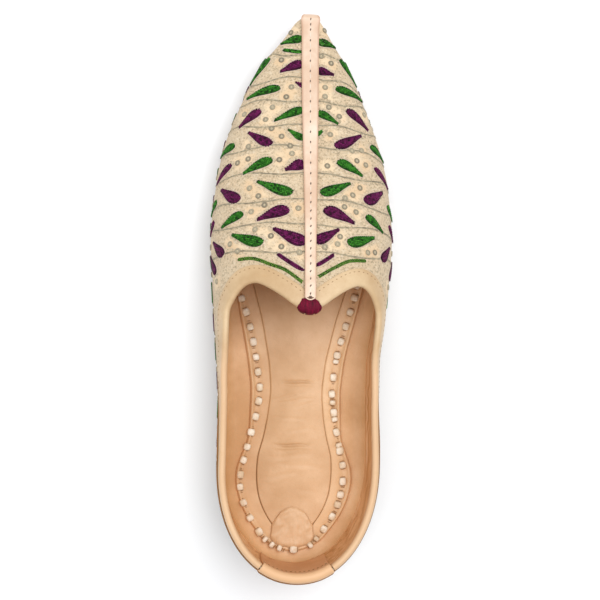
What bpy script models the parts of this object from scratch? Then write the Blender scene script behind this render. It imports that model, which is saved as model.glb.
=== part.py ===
"""A mojari: a flat leather slip-on with a pointed toe, a heart-shaped throat and a strip down its vamp.

Metres. +Y runs from heel to toe, +X is the wearer's right and +Z is up. The origin is on the ground,
under the middle of the outline. Everything that lies on the upper or in it is read from one function,
spot(), which gives the upper's outer face at a share of the length and a rise round the section.
"""

from bisect import bisect_right
from collections import Counter, namedtuple
from functools import lru_cache
from math import atan2, cos, pi, sin, sqrt

import bmesh
import bpy
from mathutils import Matrix, Vector

# Driving dimensions
LENGTH = 0.2675
BALL_WIDTH = 0.0862
INSTEP_HEIGHT = 0.062
HEEL_COLLAR_HEIGHT = 0.054
SIDE_COLLAR_HEIGHT = 0.0455
BACK_LEAN = 0.0013
WALL = 0.002
GAP = 0.0003
SOLE_THICKNESS = 0.0045
HEEL_LIFT = 0.0045
TOE_SPRING = 0.0065
SOLE_INSET = 0.0065
MARGIN_WIDTH = 0.0075
FILLER_CLEARANCE = 0.0005
INSOLE_CLEARANCE = 0.0008
INSOLE_THICKNESS = 0.0018
PANEL_THICKNESS = 0.001
BAND_WIDTH = 0.0065
BAND_THICKNESS = 0.0008
STRIP_TIP_WIDTH = 0.011
STRIP_FRONT_WIDTH = 0.0082
STRIP_THROAT_WIDTH = 0.0057
STRIP_THICKNESS = 0.0012
STRIP_OVERHANG = 0.0015
STRAP_HALF_WIDTH = 0.017
STRAP_THICKNESS = 0.001
KNOT_WIDTH = 0.0111
KNOT_LENGTH = 0.0085
KNOT_HEIGHT = 0.0068

# Places as shares of the upper's length, from the back of the heel
HEEL_ROUND = 0.20
HEEL_BREAST = 0.27
THROAT_POINT = 0.463
THROAT_CREST = 0.517
BALL = 0.60
NOSE = 0.975
SOLE_NOSE = 0.955
SOLE_FRONT = 0.988
INSOLE_FRONT = 0.87
FILLER_FRONT = 0.88

HEEL_POWER = 2.1
NOSE_SOLID = 0.022
NOSE_DROOP = 0.55
EDGE_SHARE = 0.7
LONGEST_DEPTH = 1.75

HALF = BALL_WIDTH / 2
STRAP_PROUD = GAP + STRAP_THICKNESS
UPPER_LENGTH = LENGTH - STRIP_OVERHANG - STRAP_PROUD
BACK_Y = STRAP_PROUD - LENGTH / 2
EDGE_TAPER = (SOLE_INSET + MARGIN_WIDTH) / EDGE_SHARE

# Depths below the upper's outer face at which the layers of the footbed start and end
INSOLE_UNDER = WALL + GAP
INSOLE_FACE = INSOLE_UNDER + INSOLE_THICKNESS
PANEL_UNDER = INSOLE_FACE + GAP
PANEL_FACE = PANEL_UNDER + PANEL_THICKNESS
TAB_UNDER = PANEL_FACE + GAP
TAB_FACE = TAB_UNDER + PANEL_THICKNESS

# Heights above the upper's outer face at which the band and the strip over it start and end
BAND_FACE = GAP + BAND_THICKNESS
STRIP_ON_BAND = BAND_FACE + GAP

# Half widths and the ridge's place are shares of half the ball width, heights shares of the instep height
Section = namedtuple("Section", "along left right ridge widest crown top_power low_power")
SECTIONS = [
    Section(0.000, 0.860, 0.860, 0.000, 0.460, 1.450, 3.00, 5.0),
    Section(0.200, 0.860, 0.860, 0.000, 0.450, 1.400, 3.00, 4.2),
    Section(0.300, 0.870, 0.842, 0.004, 0.440, 1.250, 3.00, 4.0),
    Section(0.370, 0.900, 0.845, 0.016, 0.420, 1.120, 2.90, 3.8),
    Section(0.440, 0.940, 0.898, 0.027, 0.390, 1.020, 2.70, 3.6),
    Section(0.510, 0.974, 0.956, 0.030, 0.350, 0.955, 2.45, 3.5),
    Section(0.600, 1.011, 0.989, 0.029, 0.310, 0.835, 2.30, 3.4),
    Section(0.690, 0.970, 0.935, 0.026, 0.290, 0.700, 2.20, 3.3),
    Section(0.760, 0.889, 0.833, 0.022, 0.275, 0.595, 2.20, 3.2),
    Section(0.830, 0.736, 0.671, 0.018, 0.260, 0.490, 2.20, 3.0),
    Section(0.905, 0.522, 0.462, 0.014, 0.250, 0.390, 2.20, 2.8),
    Section(0.960, 0.265, 0.248, 0.011, 0.255, 0.335, 2.20, 2.6),
    Section(1.000, 0.105, 0.100, 0.009, 0.270, 0.320, 2.20, 2.4),
]

# Shares of the heel's lift and of the toe's spring
Lift = namedtuple("Lift", "along heel toe")
LIFTS = [
    Lift(0.00, 1.00, 0.00),
    Lift(0.20, 1.00, 0.00),
    Lift(0.27, 0.97, 0.00),
    Lift(0.35, 0.78, 0.00),
    Lift(0.42, 0.50, 0.00),
    Lift(0.50, 0.20, 0.00),
    Lift(0.56, 0.04, 0.00),
    Lift(0.60, 0.00, 0.00),
    Lift(0.72, 0.00, 0.00),
    Lift(0.80, 0.00, 0.08),
    Lift(0.86, 0.00, 0.25),
    Lift(0.92, 0.00, 0.50),
    Lift(0.96, 0.00, 0.75),
    Lift(1.00, 0.00, 1.10),
]

# The throat's two lobes: depth runs from 0 at their crest to 1 at the point between them
Throat = namedtuple("Throat", "depth inner outer")
THROAT = [
    Throat(0.00, 0.560, 0.560),
    Throat(0.25, 0.474, 0.652),
    Throat(0.50, 0.351, 0.735),
    Throat(0.75, 0.194, 0.811),
    Throat(1.00, 0.020, 0.879),
    Throat(1.35, 0.020, 0.912),
    Throat(LONGEST_DEPTH, 0.020, 0.930),
]

# The collar's height between its height at the sides, 0, and at the back, 1
Collar = namedtuple("Collar", "along height")
COLLAR = [
    Collar(0.00, 1.00),
    Collar(0.03, 0.93),
    Collar(0.07, 0.66),
    Collar(0.12, 0.38),
    Collar(0.20, 0.13),
    Collar(0.28, 0.00),
    Collar(0.34, 0.00),
    Collar(0.40, 0.07),
    Collar(0.46, 0.20),
]

# Half widths of the sock panel and of the border round it, as shares of the shoe's
Footbed = namedtuple("Footbed", "along sock border")
FOOTBED = [
    Footbed(0.000, 0.6600, 0.800),
    Footbed(0.030, 0.6200, 0.790),
    Footbed(0.062, 0.5530, 0.785),
    Footbed(0.090, 0.5340, 0.765),
    Footbed(0.130, 0.5220, 0.780),
    Footbed(0.160, 0.5040, 0.785),
    Footbed(0.180, 0.4900, 0.760),
    Footbed(0.200, 0.4750, 0.700),
    Footbed(0.240, 0.4060, 0.610),
    Footbed(0.280, 0.3600, 0.598),
    Footbed(0.320, 0.3370, 0.592),
    Footbed(0.360, 0.3550, 0.615),
    Footbed(0.410, 0.4070, 0.660),
    Footbed(0.450, 0.4525, 0.700),
    Footbed(0.490, 0.5150, 0.735),
    Footbed(0.550, 0.5900, 0.780),
    Footbed(0.650, 0.6400, 0.800),
    Footbed(0.750, 0.6400, 0.780),
    Footbed(0.860, 0.5000, 0.660),
]

# The half-round tab at the back of the footbed, front edge and rear edge as shares of the half width
Tab = namedtuple("Tab", "along front rear")
TAB = [
    Tab(0.0000, 0.214, 0.751),
    Tab(0.0250, 0.235, 0.744),
    Tab(0.0370, 0.258, 0.740),
    Tab(0.0450, 0.285, 0.722),
    Tab(0.0522, 0.318, 0.697),
    Tab(0.0571, 0.347, 0.624),
    Tab(0.0605, 0.420, 0.590),
    Tab(0.0632, 0.540, 0.562),
]

FRONT_ROWS = (1.0, 0.997, 0.99, 0.98, 0.965, 0.945, 0.92, 0.89, 0.855, 0.82, 0.785, 0.75, 0.71, 0.67, 0.63,
              0.595, 0.565, 0.54, 0.526)
BACK_ROWS = (0.44, 0.41, 0.375, 0.335, 0.29, 0.245)
THROAT_STEPS = 8
HEEL_STEPS = 12
LOW_STEPS = (1.0, 0.8, 0.55, 0.28)
TOP_STEPS = (0.0, 0.25, 0.5, 0.75, 1.0)
SAME_POINT = 1e-6
NUDGE = 1e-4


def ease(share):
    """A share held between 0 and 1 and smoothed at both ends."""
    share = min(max(share, 0.0), 1.0)
    return share * share * (3 - 2 * share)


def blend(low, high, share):
    return low + (high - low) * share


def read(table, column, at):
    """One named column of a table at a place, on a curve that passes its rows and never overshoots them."""
    places = [row[0] for row in table]
    values = [getattr(row, column) for row in table]
    at = min(max(at, places[0]), places[-1])
    slopes = [(b - a) / (q - p) for a, b, p, q in zip(values, values[1:], places, places[1:])]
    i = min(bisect_right(places, at), len(places) - 1) - 1

    def tangent(row):
        before, after = slopes[max(row - 1, 0)], slopes[min(row, len(slopes) - 1)]
        return 2 * before * after / (before + after) if before * after > 0 else 0.0

    step = places[i + 1] - places[i]
    t = (at - places[i]) / step
    start = values[i] * (1 + 2 * t) * (1 - t) ** 2 + tangent(i) * step * t * (1 - t) ** 2
    return start + values[i + 1] * t * t * (3 - 2 * t) + tangent(i + 1) * step * t * t * (t - 1)


@lru_cache(maxsize=None)
def section(along):
    return Section(along, *(read(SECTIONS, column, along) for column in Section._fields[1:]))


MIDDLE_X = HALF * (section(BALL).left - section(BALL).right) / 2


def reach(side, along):
    """How far the outline lies from the heel's centre line."""
    return HALF * (section(along).left if side < 0 else section(along).right)


def sole_top(along):
    """The height of the sole's upper face at its edge."""
    return SOLE_THICKNESS + HEEL_LIFT * read(LIFTS, "heel", along) + TOE_SPRING * read(LIFTS, "toe", along)


def underside(along):
    """The sole's lower face: flat under the heel and the ball, raised in the arch and at the toe."""
    return 0.0 if along <= HEEL_BREAST else sole_top(along) - SOLE_THICKNESS


def edge_share(side, along, inset):
    """The share of the half width that lies an inset inside the outline, less so where the toe is narrow."""
    width = reach(side, along)
    return 1 - inset * min(1.0, width / EDGE_TAPER) / width


def plan(side, along, across):
    """x and y at a share of the length and a share of the half width. Rows fan out round the heel."""
    width = reach(side, along)
    if along >= HEEL_ROUND:
        ridge = HALF * section(along).ridge
        return MIDDLE_X + ridge + side * (width - side * ridge) * across, BACK_Y + along * UPPER_LENGTH
    turn = (1 - along / HEEL_ROUND) * pi / 2
    size = (cos(turn) ** HEEL_POWER + sin(turn) ** HEEL_POWER) ** (1 / HEEL_POWER)
    back = HEEL_ROUND * UPPER_LENGTH
    x = MIDDLE_X + side * width * across * cos(turn) / size
    return x, BACK_Y + back - (back - (1 - across) * width) * sin(turn) / size


def heel_turn(along):
    """0 along the sides and 1 at the middle of the back."""
    return sin((1 - min(along, HEEL_ROUND) / HEEL_ROUND) * pi / 2)


def partner(share, power):
    """The other coordinate of a point on a superellipse of size 1."""
    return (1 - min(share, 1.0) ** power) ** (1 / power)


def low_depth(side, along):
    """How deep the section's lower half would reach if the sole's edge did not cut it flat."""
    shape = section(along)
    depth = shape.widest * INSTEP_HEIGHT - sole_top(along) - GAP
    return depth / partner(edge_share(side, along, SOLE_INSET), shape.low_power)


def rise_across(side, along, across, top=True):
    """The rise of the point of the section at a share of its half width."""
    shape = section(along)
    up = partner(across, shape.top_power if top else shape.low_power)
    return (1 if top else -1) * atan2(up, across) / (pi / 2)


def feather_rise(side, along):
    """The rise of the line where the upper turns under over the sole's edge."""
    return rise_across(side, along, edge_share(side, along, SOLE_INSET), top=False)


def rise_at_height(side, along, z):
    """The rise of the point of the section at a height."""
    shape = section(along)
    widest = shape.widest * INSTEP_HEIGHT
    if z > widest:
        up = (z - widest) / (shape.crown * INSTEP_HEIGHT - widest)
        return atan2(up, partner(up, shape.top_power)) / (pi / 2)
    up = (widest - z) / low_depth(side, along)
    return -atan2(up, partner(up, shape.low_power)) / (pi / 2)


def collar_height(along):
    return blend(SIDE_COLLAR_HEIGHT, HEEL_COLLAR_HEIGHT, read(COLLAR, "height", along))


def bare(side, along, rise):
    """The upper's outer face, before the nose is rounded.

    Rise is 0 on the widest line, 1 on the ridge, and below 0 under the foot, down to -1 in the middle.
    """
    shape = section(along)
    power = shape.top_power if rise > 0 else shape.low_power
    across, up = abs(cos(rise * pi / 2)), abs(sin(rise * pi / 2))
    size = (across ** power + up ** power) ** (1 / power)
    x, y = plan(side, along, across / size)
    widest = shape.widest * INSTEP_HEIGHT
    if rise <= 0:
        return Vector((x, y, max(widest - low_depth(side, along) * up / size, sole_top(along) + GAP)))
    z = widest + (shape.crown * INSTEP_HEIGHT - widest) * up / size
    climb = (z - widest) / (collar_height(along) - widest)
    return Vector((x, y + BACK_LEAN * heel_turn(along) * climb * climb, z))


def outward(side, along, rise):
    """The direction straight out of the upper's face, which is straight down where the margin lies flat."""
    if rise <= feather_rise(side, along):
        return Vector((0, 0, -1))
    back, front = max(along - NUDGE, 0.0), min(along + NUDGE, 1.0)
    low, high = max(rise - NUDGE, -1.0), min(rise + NUDGE, 1.0)
    lengthwise = bare(side, front, rise) - bare(side, back, rise)
    upward = bare(side, along, high) - bare(side, along, low)
    normal = lengthwise.cross(upward).normalized()
    x, y = plan(side, max(along, HEEL_ROUND), 0.0)
    inside = Vector((x, y, section(along).widest * INSTEP_HEIGHT))
    return normal if normal.dot(bare(side, along, rise) - inside) > 0 else -normal


def spot(side, along, rise, offset=0.0):
    """A point at an offset from the upper's outer face, with the nose rounded off."""
    place = along + min(offset, 0.0) / WALL * NOSE_SOLID * ease((along - 0.88) / 0.12)
    point = bare(side, place, rise) + outward(side, place, rise) * offset
    past = (along - NOSE) / (1 - NOSE)
    if past > 0:
        full = sqrt(max(1 - past ** 4, 0.0))
        ridge = plan(side, place, 0.0)[0]
        middle = section(place).widest * INSTEP_HEIGHT
        point.x = blend(ridge, point.x, full)
        point.z = blend(middle, point.z, 1 - NOSE_DROOP * (1 - full))
    return point


def between(side, along, rise, outer, inner):
    """The two faces of a sheet at one place."""
    return spot(side, along, rise, outer), spot(side, along, rise, inner)


def throat_depth(along):
    return sqrt(max(THROAT_CREST - along, 0.0) / (THROAT_CREST - THROAT_POINT))


def throat_along(depth):
    return THROAT_CREST - depth * depth * (THROAT_CREST - THROAT_POINT)


def top_rise(side, along):
    """The rise of the upper's edge: the lobe's outer side, then the collar."""
    depth = min(throat_depth(along), LONGEST_DEPTH)
    throat = rise_across(side, along, read(THROAT, "outer", depth))
    last = throat_along(LONGEST_DEPTH)
    if along >= THROAT_POINT:
        return throat
    collar = rise_at_height(side, along, collar_height(along))
    return blend(collar, throat, ease((along - last) / (THROAT_POINT - last)))


def heel_along(half_width):
    """The share of the length at which the heel's outline is that far from its middle."""
    low, high = 0.0, HEEL_ROUND
    for _ in range(40):
        middle = (low + high) / 2
        if plan(1, middle, 1.0)[0] - MIDDLE_X < half_width:
            low = middle
        else:
            high = middle
    return low


def material(name, colour, roughness):
    made = bpy.data.materials.new(name)
    made.use_nodes = True
    shader = made.node_tree.nodes["Principled BSDF"]
    shader.inputs["Base Color"].default_value = (*colour, 1.0)
    shader.inputs["Roughness"].default_value = roughness
    shader.inputs["Metallic"].default_value = 0.0
    made.diffuse_color = (*colour, 1.0)
    return made


def add(name, mesh, collection, colour=(0.5, 0.5, 0.5), roughness=0.7):
    """A smooth-shaded object of its own in a collection."""
    thing = bpy.data.objects.new(name, mesh)
    mesh.materials.append(material(name, colour, roughness))
    mesh.shade_smooth()
    mesh.set_sharp_from_angle(angle=0.7)
    collection.objects.link(thing)
    return thing


def sheet(name, grids):
    """A closed body between the outer and inner points of its grids, one where their outer points meet."""
    body = bmesh.new()
    corners = {}
    tiles = []

    def corner(points):
        key = tuple(round(value / SAME_POINT) for value in points[0])
        if key not in corners:
            corners[key] = [body.verts.new(point) for point in points]
        return key

    for grid in grids:
        keys = [[corner(points) for points in row] for row in grid]
        for near, far in zip(keys, keys[1:]):
            for i in range(len(near) - 1):
                loop = [near[i], near[i + 1], far[i + 1], far[i]]
                tile = [key for at, key in enumerate(loop) if key != loop[at - 1]]
                if len(set(tile)) > 2:
                    tiles.append(tile)
    sides = Counter(frozenset(side) for tile in tiles for side in zip(tile, tile[1:] + tile[:1]))
    for tile in tiles:
        body.faces.new([corners[key][0] for key in tile])
        body.faces.new([corners[key][1] for key in reversed(tile)])
        for a, b in zip(tile, tile[1:] + tile[:1]):
            if sides[frozenset((a, b))] == 1:
                body.faces.new([corners[b][0], corners[a][0], corners[a][1], corners[b][1]])
    bmesh.ops.recalc_face_normals(body, faces=body.faces)
    mesh = bpy.data.meshes.new(name)
    body.to_mesh(mesh)
    body.free()
    return mesh


def throat_rows():
    return [throat_along(step / THROAT_STEPS) for step in range(THROAT_STEPS + 1)]


def heel_rows():
    """Rows round the heel, from its side to the middle of its back."""
    return [HEEL_ROUND * (1 - step / HEEL_STEPS) for step in range(1, HEEL_STEPS + 1)]


def upper_grids():
    """The vamp and quarters: a grid from the lasted margin to the top edge, and one up to the ridge."""
    side_rows = [*FRONT_ROWS, *throat_rows(), *BACK_ROWS, HEEL_ROUND, *heel_rows()]
    ridge_rows = [*FRONT_ROWS, *throat_rows()]
    grids = []
    for side in (-1, 1):
        grid = []
        for along in side_rows:
            margin_share = edge_share(side, along, SOLE_INSET + MARGIN_WIDTH)
            margin = rise_across(side, along, margin_share, top=False)
            feather = feather_rise(side, along)
            top = top_rise(side, along)
            low = [feather * share for share in LOW_STEPS]
            high = [top * share for share in TOP_STEPS]
            grid.append([between(side, along, rise, 0.0, -WALL) for rise in [margin, *low, *high]])
        grids.append(grid)
        grid = []
        for along in ridge_rows:
            depth = min(throat_depth(along), 1.0)
            start = rise_across(side, along, read(THROAT, "inner", depth))
            rises = [blend(start, 1.0, step / 4) for step in range(5)]
            grid.append([between(side, along, rise, 0.0, -WALL) for rise in rises])
        grids.append(grid)
    return grids


def outsole_grids():
    """The sole from its spine to its edge, with a raised filler where the lasted margin leaves room."""
    rows = [*heel_rows()[::-1], HEEL_ROUND, HEEL_BREAST, HEEL_BREAST + 0.0005, 0.31, 0.35, 0.39, 0.43,
            0.47, 0.51, 0.555, BALL, 0.66, 0.72, 0.76, 0.80, 0.84, 0.86, FILLER_FRONT, 0.91, 0.935, 0.95,
            0.965, 0.977, 0.984, SOLE_FRONT]
    grids = []
    for side in (-1, 1):
        grid = []
        for along in rows:
            past = max(along - SOLE_NOSE, 0.0) / (SOLE_FRONT - SOLE_NOSE)
            full = sqrt(max(1 - past ** 4, 0.0))
            edge = edge_share(side, along, SOLE_INSET)
            margin = edge_share(side, along, SOLE_INSET + MARGIN_WIDTH + FILLER_CLEARANCE)
            filler = edge_share(side, along, SOLE_INSET + MARGIN_WIDTH + 2 * FILLER_CLEARANCE)
            raised = (WALL + GAP) * ease((FILLER_FRONT - along) / 0.02)
            row = []
            for across, height in ((0.0, raised), (filler, raised), (margin, 0.0), (edge, 0.0)):
                x, y = plan(side, along, across * full)
                top = Vector((x, y, sole_top(along) + height))
                row.append((top, Vector((x, y, underside(along)))))
            grid.append(row)
        grids.append(grid)
    return grids


def footbed_grids(rows, near, far, under, face, columns):
    """A flat layer of the footbed between two shares of the half width, each read at a side and a row."""
    grids = []
    for side in (-1, 1):
        grid = []
        for along in rows:
            ends = near(side, along), far(side, along)
            shares = [blend(*ends, step / columns) for step in range(columns + 1)]
            rises = [rise_across(side, along, share, top=False) for share in shares]
            grid.append([between(side, along, rise, -face, -under) for rise in rises])
        grids.append(grid)
    return grids


def insole_edge(side, along):
    """The insole's edge, rounded in at its front end."""
    edge = edge_share(side, along, SOLE_INSET + INSOLE_CLEARANCE)
    rounded = 0.06
    past = max(along - INSOLE_FRONT + rounded, 0.0) / rounded
    return edge * sqrt(1 - 0.55 * past ** 3)


def sock_edge(side, along):
    return read(FOOTBED, "sock", along)


def border_start(side, along):
    return sock_edge(side, along) + GAP / reach(side, along)


def border_edge(side, along):
    return min(read(FOOTBED, "border", along), insole_edge(side, along) - GAP / reach(side, along))


def spine(side, along):
    return 0.0


def footbed_rows():
    """Rows of the footbed's layers, from the back of the heel to just short of the insole's front."""
    return [*heel_rows()[::-1], HEEL_ROUND, 0.24, 0.28, 0.32, 0.36, 0.41, 0.45, 0.49, 0.55, 0.61, 0.67,
            0.73, 0.79, 0.83, 0.86]


def walk(along, rise, heading, distance):
    """Crosses the face of the right-hand side by a distance, straight ahead, and stops at the ridge."""
    steps = 3
    for _ in range(steps):
        if rise == 1.0:
            break
        normal = outward(1, along, rise)
        heading = (heading - normal * heading.dot(normal)).normalized()
        lengthwise = (bare(1, along + NUDGE, rise) - bare(1, along - NUDGE, rise)) / (2 * NUDGE)
        upward = (bare(1, along, rise) - bare(1, along, rise - NUDGE)) / NUDGE
        ll, lu, uu = lengthwise.dot(lengthwise), lengthwise.dot(upward), upward.dot(upward)
        l_goal, u_goal = lengthwise.dot(heading), upward.dot(heading)
        reach_of_step = distance / steps / (ll * uu - lu * lu)
        along_step = (l_goal * uu - u_goal * lu) * reach_of_step
        rise_step = (u_goal * ll - l_goal * lu) * reach_of_step
        share = min(1.0, (1 - rise) / rise_step) if rise_step > 0 else 1.0
        along += along_step * share
        rise = 1.0 if share < 1 else rise + rise_step
    return along, rise, heading


def top_line():
    """The upper's edge as (along, rise), from the throat's point round a lobe and back to the heel strap."""
    last = heel_along(STRAP_HALF_WIDTH + 1.5 * GAP)
    line = []
    for step in range(THROAT_STEPS, 0, -1):
        depth = step / THROAT_STEPS
        along = throat_along(depth)
        line.append((along, rise_across(1, along, read(THROAT, "inner", depth))))
    for step in range(THROAT_STEPS + 1):
        line.append((throat_along(step / THROAT_STEPS), top_rise(1, throat_along(step / THROAT_STEPS))))
    turns = [along for along in heel_rows() if along > last + 0.003]
    for along in [*BACK_ROWS, HEEL_ROUND, *turns, last]:
        line.append((along, top_rise(1, along)))
    return line


def collar_band_grids():
    """A band of even width along the top edge. Its halves meet under the strip."""
    line = top_line()
    columns = 3
    rows = []
    for i, (along, rise) in enumerate(line):
        before, after = line[max(i - 1, 0)], line[min(i + 1, len(line) - 1)]
        ahead = bare(1, *after) - bare(1, *before)
        heading = outward(1, along, rise).cross(ahead).normalized()
        if i == len(line) - 1:
            heading = (bare(1, along, rise - 0.05) - bare(1, along, rise)).normalized()
        row = [(along, rise)]
        for _ in range(columns):
            along, rise, heading = walk(along, rise, heading, BAND_WIDTH / columns)
            row.append((along, rise))
        rows.append(row)
    rows.insert(0, [(along, 1.0) for along, _ in rows[0]])
    return [[[between(side, *place, BAND_FACE, GAP) for place in row] for row in rows] for side in (-1, 1)]


def strip_width(along):
    """The strip widens from the throat to the toe, and flares where it ends over the tip."""
    width = blend(STRIP_THROAT_WIDTH, STRIP_FRONT_WIDTH, ease((along - 0.5) / 0.38))
    return blend(width, STRIP_TIP_WIDTH, ease((along - NOSE) / (1 - NOSE)))


def toe_strip_grids():
    """The strip along the ridge, over the band near the throat and straight on past the nose."""
    start = THROAT_POINT + (KNOT_LENGTH * 0.8 + GAP) / UPPER_LENGTH
    on_band = THROAT_POINT + 1.85 * BAND_WIDTH / UPPER_LENGTH
    ramp = 0.0045 / UPPER_LENGTH
    rows = [start, blend(start, on_band, 0.5), on_band, on_band + ramp / 2, on_band + ramp]
    rows += [along for along in reversed(FRONT_ROWS) if rows[-1] + 0.01 < along < NOSE]
    rows += [NOSE, 1.0]
    ahead = (bare(1, NOSE, 1.0) - bare(1, NOSE - 0.01, 1.0)).normalized()
    grids = []
    for side in (-1, 1):
        grid = []
        for along in rows:
            place = min(along, NOSE)
            under = blend(STRIP_ON_BAND, GAP, ease((place - on_band) / ramp))
            half = strip_width(along) / 2 / (reach(side, place) - side * HALF * section(place).ridge)
            row = []
            for share in (0.0, 0.5, 1.0):
                rise = rise_across(side, place, half * share)
                points = between(side, place, rise, under + STRIP_THICKNESS, under)
                if along > NOSE:
                    points = [point + ahead * ((LENGTH / 2 - point.y) / ahead.y) for point in points]
                row.append(points)
            grid.append(row)
        grids.append(grid)
    return grids


def knot_cutter_grids():
    """The room that the tongue, its band and a gap take out of the knot."""
    grids = []
    for side in (-1, 1):
        grid = []
        for step in range(THROAT_STEPS // 2, THROAT_STEPS + 2):
            depth = min(step / THROAT_STEPS, 1.0)
            past = 1.5 * GAP / UPPER_LENGTH if step > THROAT_STEPS else 0.0
            along = throat_along(depth) - past
            edge = read(THROAT, "inner", depth) + 2 * GAP / HALF
            start = rise_across(side, along, edge)
            rises = [blend(start, 1.0, step / 3) for step in range(4)]
            grid.append([between(side, along, rise, STRIP_ON_BAND, -WALL - GAP) for rise in rises])
        grids.append(grid)
    return grids


def heel_strap_grids():
    """The strap over the back of the collar: up the outside, over the edge and down the inside."""
    last = heel_along(STRAP_HALF_WIDTH)
    face = GAP + STRAP_THICKNESS
    turns = 6
    steps = 5
    rows = [(-1, last * (1 - step / steps)) for step in range(steps)]
    rows += [(1, last * step / steps) for step in range(steps + 1)]
    grid = []
    for side, along in rows:
        top = top_rise(side, along)
        low = [feather_rise(side, along) * share for share in LOW_STEPS[1:]]
        high = [top * share for share in TOP_STEPS]
        row = [between(side, along, rise, face, GAP) for rise in [*low, *high[:-1]]]
        middle = spot(side, along, top, -WALL / 2)
        out = outward(side, along, top)
        up = (bare(side, along, top) - bare(side, along, top - 0.01)).normalized()
        for step in range(turns + 1):
            turn = pi * step / turns
            way = out * cos(turn) + up * sin(turn)
            row.append(tuple(middle + way * (WALL / 2 + depth) for depth in (face, GAP)))
        inside = [*high[-2::-1], *low[:0:-1]]
        row += [between(side, along, rise, -WALL - face, -WALL - GAP) for rise in inside]
        grid.append(row)
    return [grid]


def heel_tab_grids():
    rows = [row.along for row in TAB]
    return footbed_grids(
        rows,
        lambda side, along: read(TAB, "front", along),
        lambda side, along: min(read(TAB, "rear", along), border_edge(side, along)),
        TAB_UNDER,
        TAB_FACE,
        3,
    )


def throat_knot(shoe, cutters):
    """The thread knot round the point of the throat, with room cut in it for what it holds."""
    along = THROAT_POINT + KNOT_LENGTH * 0.4 / UPPER_LENGTH
    centre = spot(1, along, 1.0, BAND_THICKNESS / 2 - WALL / 2)
    ahead = (bare(1, along + 0.01, 1.0) - bare(1, along - 0.01, 1.0)).normalized()
    across = Vector((1, 0, 0))
    up = across.cross(ahead)
    body = bmesh.new()
    bmesh.ops.create_uvsphere(body, u_segments=20, v_segments=12, radius=0.5)
    size = Matrix.Diagonal((KNOT_WIDTH, KNOT_LENGTH, KNOT_HEIGHT, 1))
    turn = Matrix((across, ahead, up)).transposed().to_4x4()
    bmesh.ops.transform(body, matrix=Matrix.Translation(centre) @ turn @ size, verts=body.verts)
    mesh = bpy.data.meshes.new("throat_knot")
    body.to_mesh(mesh)
    body.free()
    knot = add("throat_knot", mesh, shoe, (0.33, 0.01, 0.07), 0.55)
    cutter = add("tongue_room", sheet("tongue_room", knot_cutter_grids()), cutters)
    cutter.hide_render = True
    cutter.display_type = "WIRE"
    cut = knot.modifiers.new("tongue_room", "BOOLEAN")
    cut.operation = "DIFFERENCE"
    cut.solver = "EXACT"
    cut.object = cutter


def main():
    for thing in list(bpy.data.objects):
        bpy.data.objects.remove(thing, do_unlink=True)
    shoe = bpy.data.collections.new("mojari")
    cutters = bpy.data.collections.new("cutters")
    bpy.context.scene.collection.children.link(shoe)
    bpy.context.scene.collection.children.link(cutters)
    tan, cream = (0.62, 0.38, 0.22), (0.83, 0.67, 0.44)
    rows = footbed_rows()
    insole = footbed_grids([*rows, INSOLE_FRONT], spine, insole_edge, INSOLE_UNDER, INSOLE_FACE, 3)
    sock = footbed_grids(rows, spine, sock_edge, PANEL_UNDER, PANEL_FACE, 2)
    border = footbed_grids(rows, border_start, border_edge, PANEL_UNDER, PANEL_FACE, 1)
    add("outsole", sheet("outsole", outsole_grids()), shoe, (0.42, 0.24, 0.12), 0.6)
    add("upper", sheet("upper", upper_grids()), shoe, (0.78, 0.66, 0.46), 0.75)
    add("insole", sheet("insole", insole), shoe, tan, 0.7)
    add("sock_panel", sheet("sock_panel", sock), shoe, (0.76, 0.46, 0.26), 0.65)
    add("insole_border", sheet("insole_border", border), shoe, (0.72, 0.42, 0.24), 0.65)
    add("heel_tab", sheet("heel_tab", heel_tab_grids()), shoe, (0.74, 0.44, 0.25), 0.65)
    add("collar_band", sheet("collar_band", collar_band_grids()), shoe, cream, 0.6)
    add("heel_strap", sheet("heel_strap", heel_strap_grids()), shoe, tan, 0.6)
    add("toe_strip", sheet("toe_strip", toe_strip_grids()), shoe, (0.9, 0.72, 0.56), 0.5)
    throat_knot(shoe, cutters)


main()
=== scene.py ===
"""A mojari: embroidered vamp, bands, lining, footbed and sole, laid over one last.

Metres. +Y runs from heel to toe, +X is the wearer's right and +Z is up. Everything that lies on the upper
or in it is read from spot(), the last's outer face at a share of the length and a rise round the section.
"""

from bisect import bisect_right
from collections import namedtuple
from functools import lru_cache
from math import asin, atan2, cos, exp, pi, radians, sin, sqrt
from random import Random

import bpy
import numpy as np
from mathutils import Matrix, Vector, noise
from mathutils.bvhtree import BVHTree
from mathutils.kdtree import KDTree

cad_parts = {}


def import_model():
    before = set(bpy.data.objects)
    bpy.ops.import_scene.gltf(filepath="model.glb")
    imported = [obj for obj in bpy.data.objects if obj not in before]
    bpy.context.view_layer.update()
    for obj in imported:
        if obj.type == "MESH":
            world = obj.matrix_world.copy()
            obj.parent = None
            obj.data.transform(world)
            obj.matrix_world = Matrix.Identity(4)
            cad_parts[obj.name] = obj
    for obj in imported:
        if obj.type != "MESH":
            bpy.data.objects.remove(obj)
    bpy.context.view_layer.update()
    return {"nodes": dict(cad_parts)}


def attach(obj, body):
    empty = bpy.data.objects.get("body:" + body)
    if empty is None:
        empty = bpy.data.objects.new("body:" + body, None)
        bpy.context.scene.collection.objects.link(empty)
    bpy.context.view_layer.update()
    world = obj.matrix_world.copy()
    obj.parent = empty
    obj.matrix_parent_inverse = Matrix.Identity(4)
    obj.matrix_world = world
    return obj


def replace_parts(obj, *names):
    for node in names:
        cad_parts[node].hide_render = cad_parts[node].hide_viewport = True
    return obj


# Sizes and places of the last and of what lies on it, the same as in the solids
LENGTH = 0.2675
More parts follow.
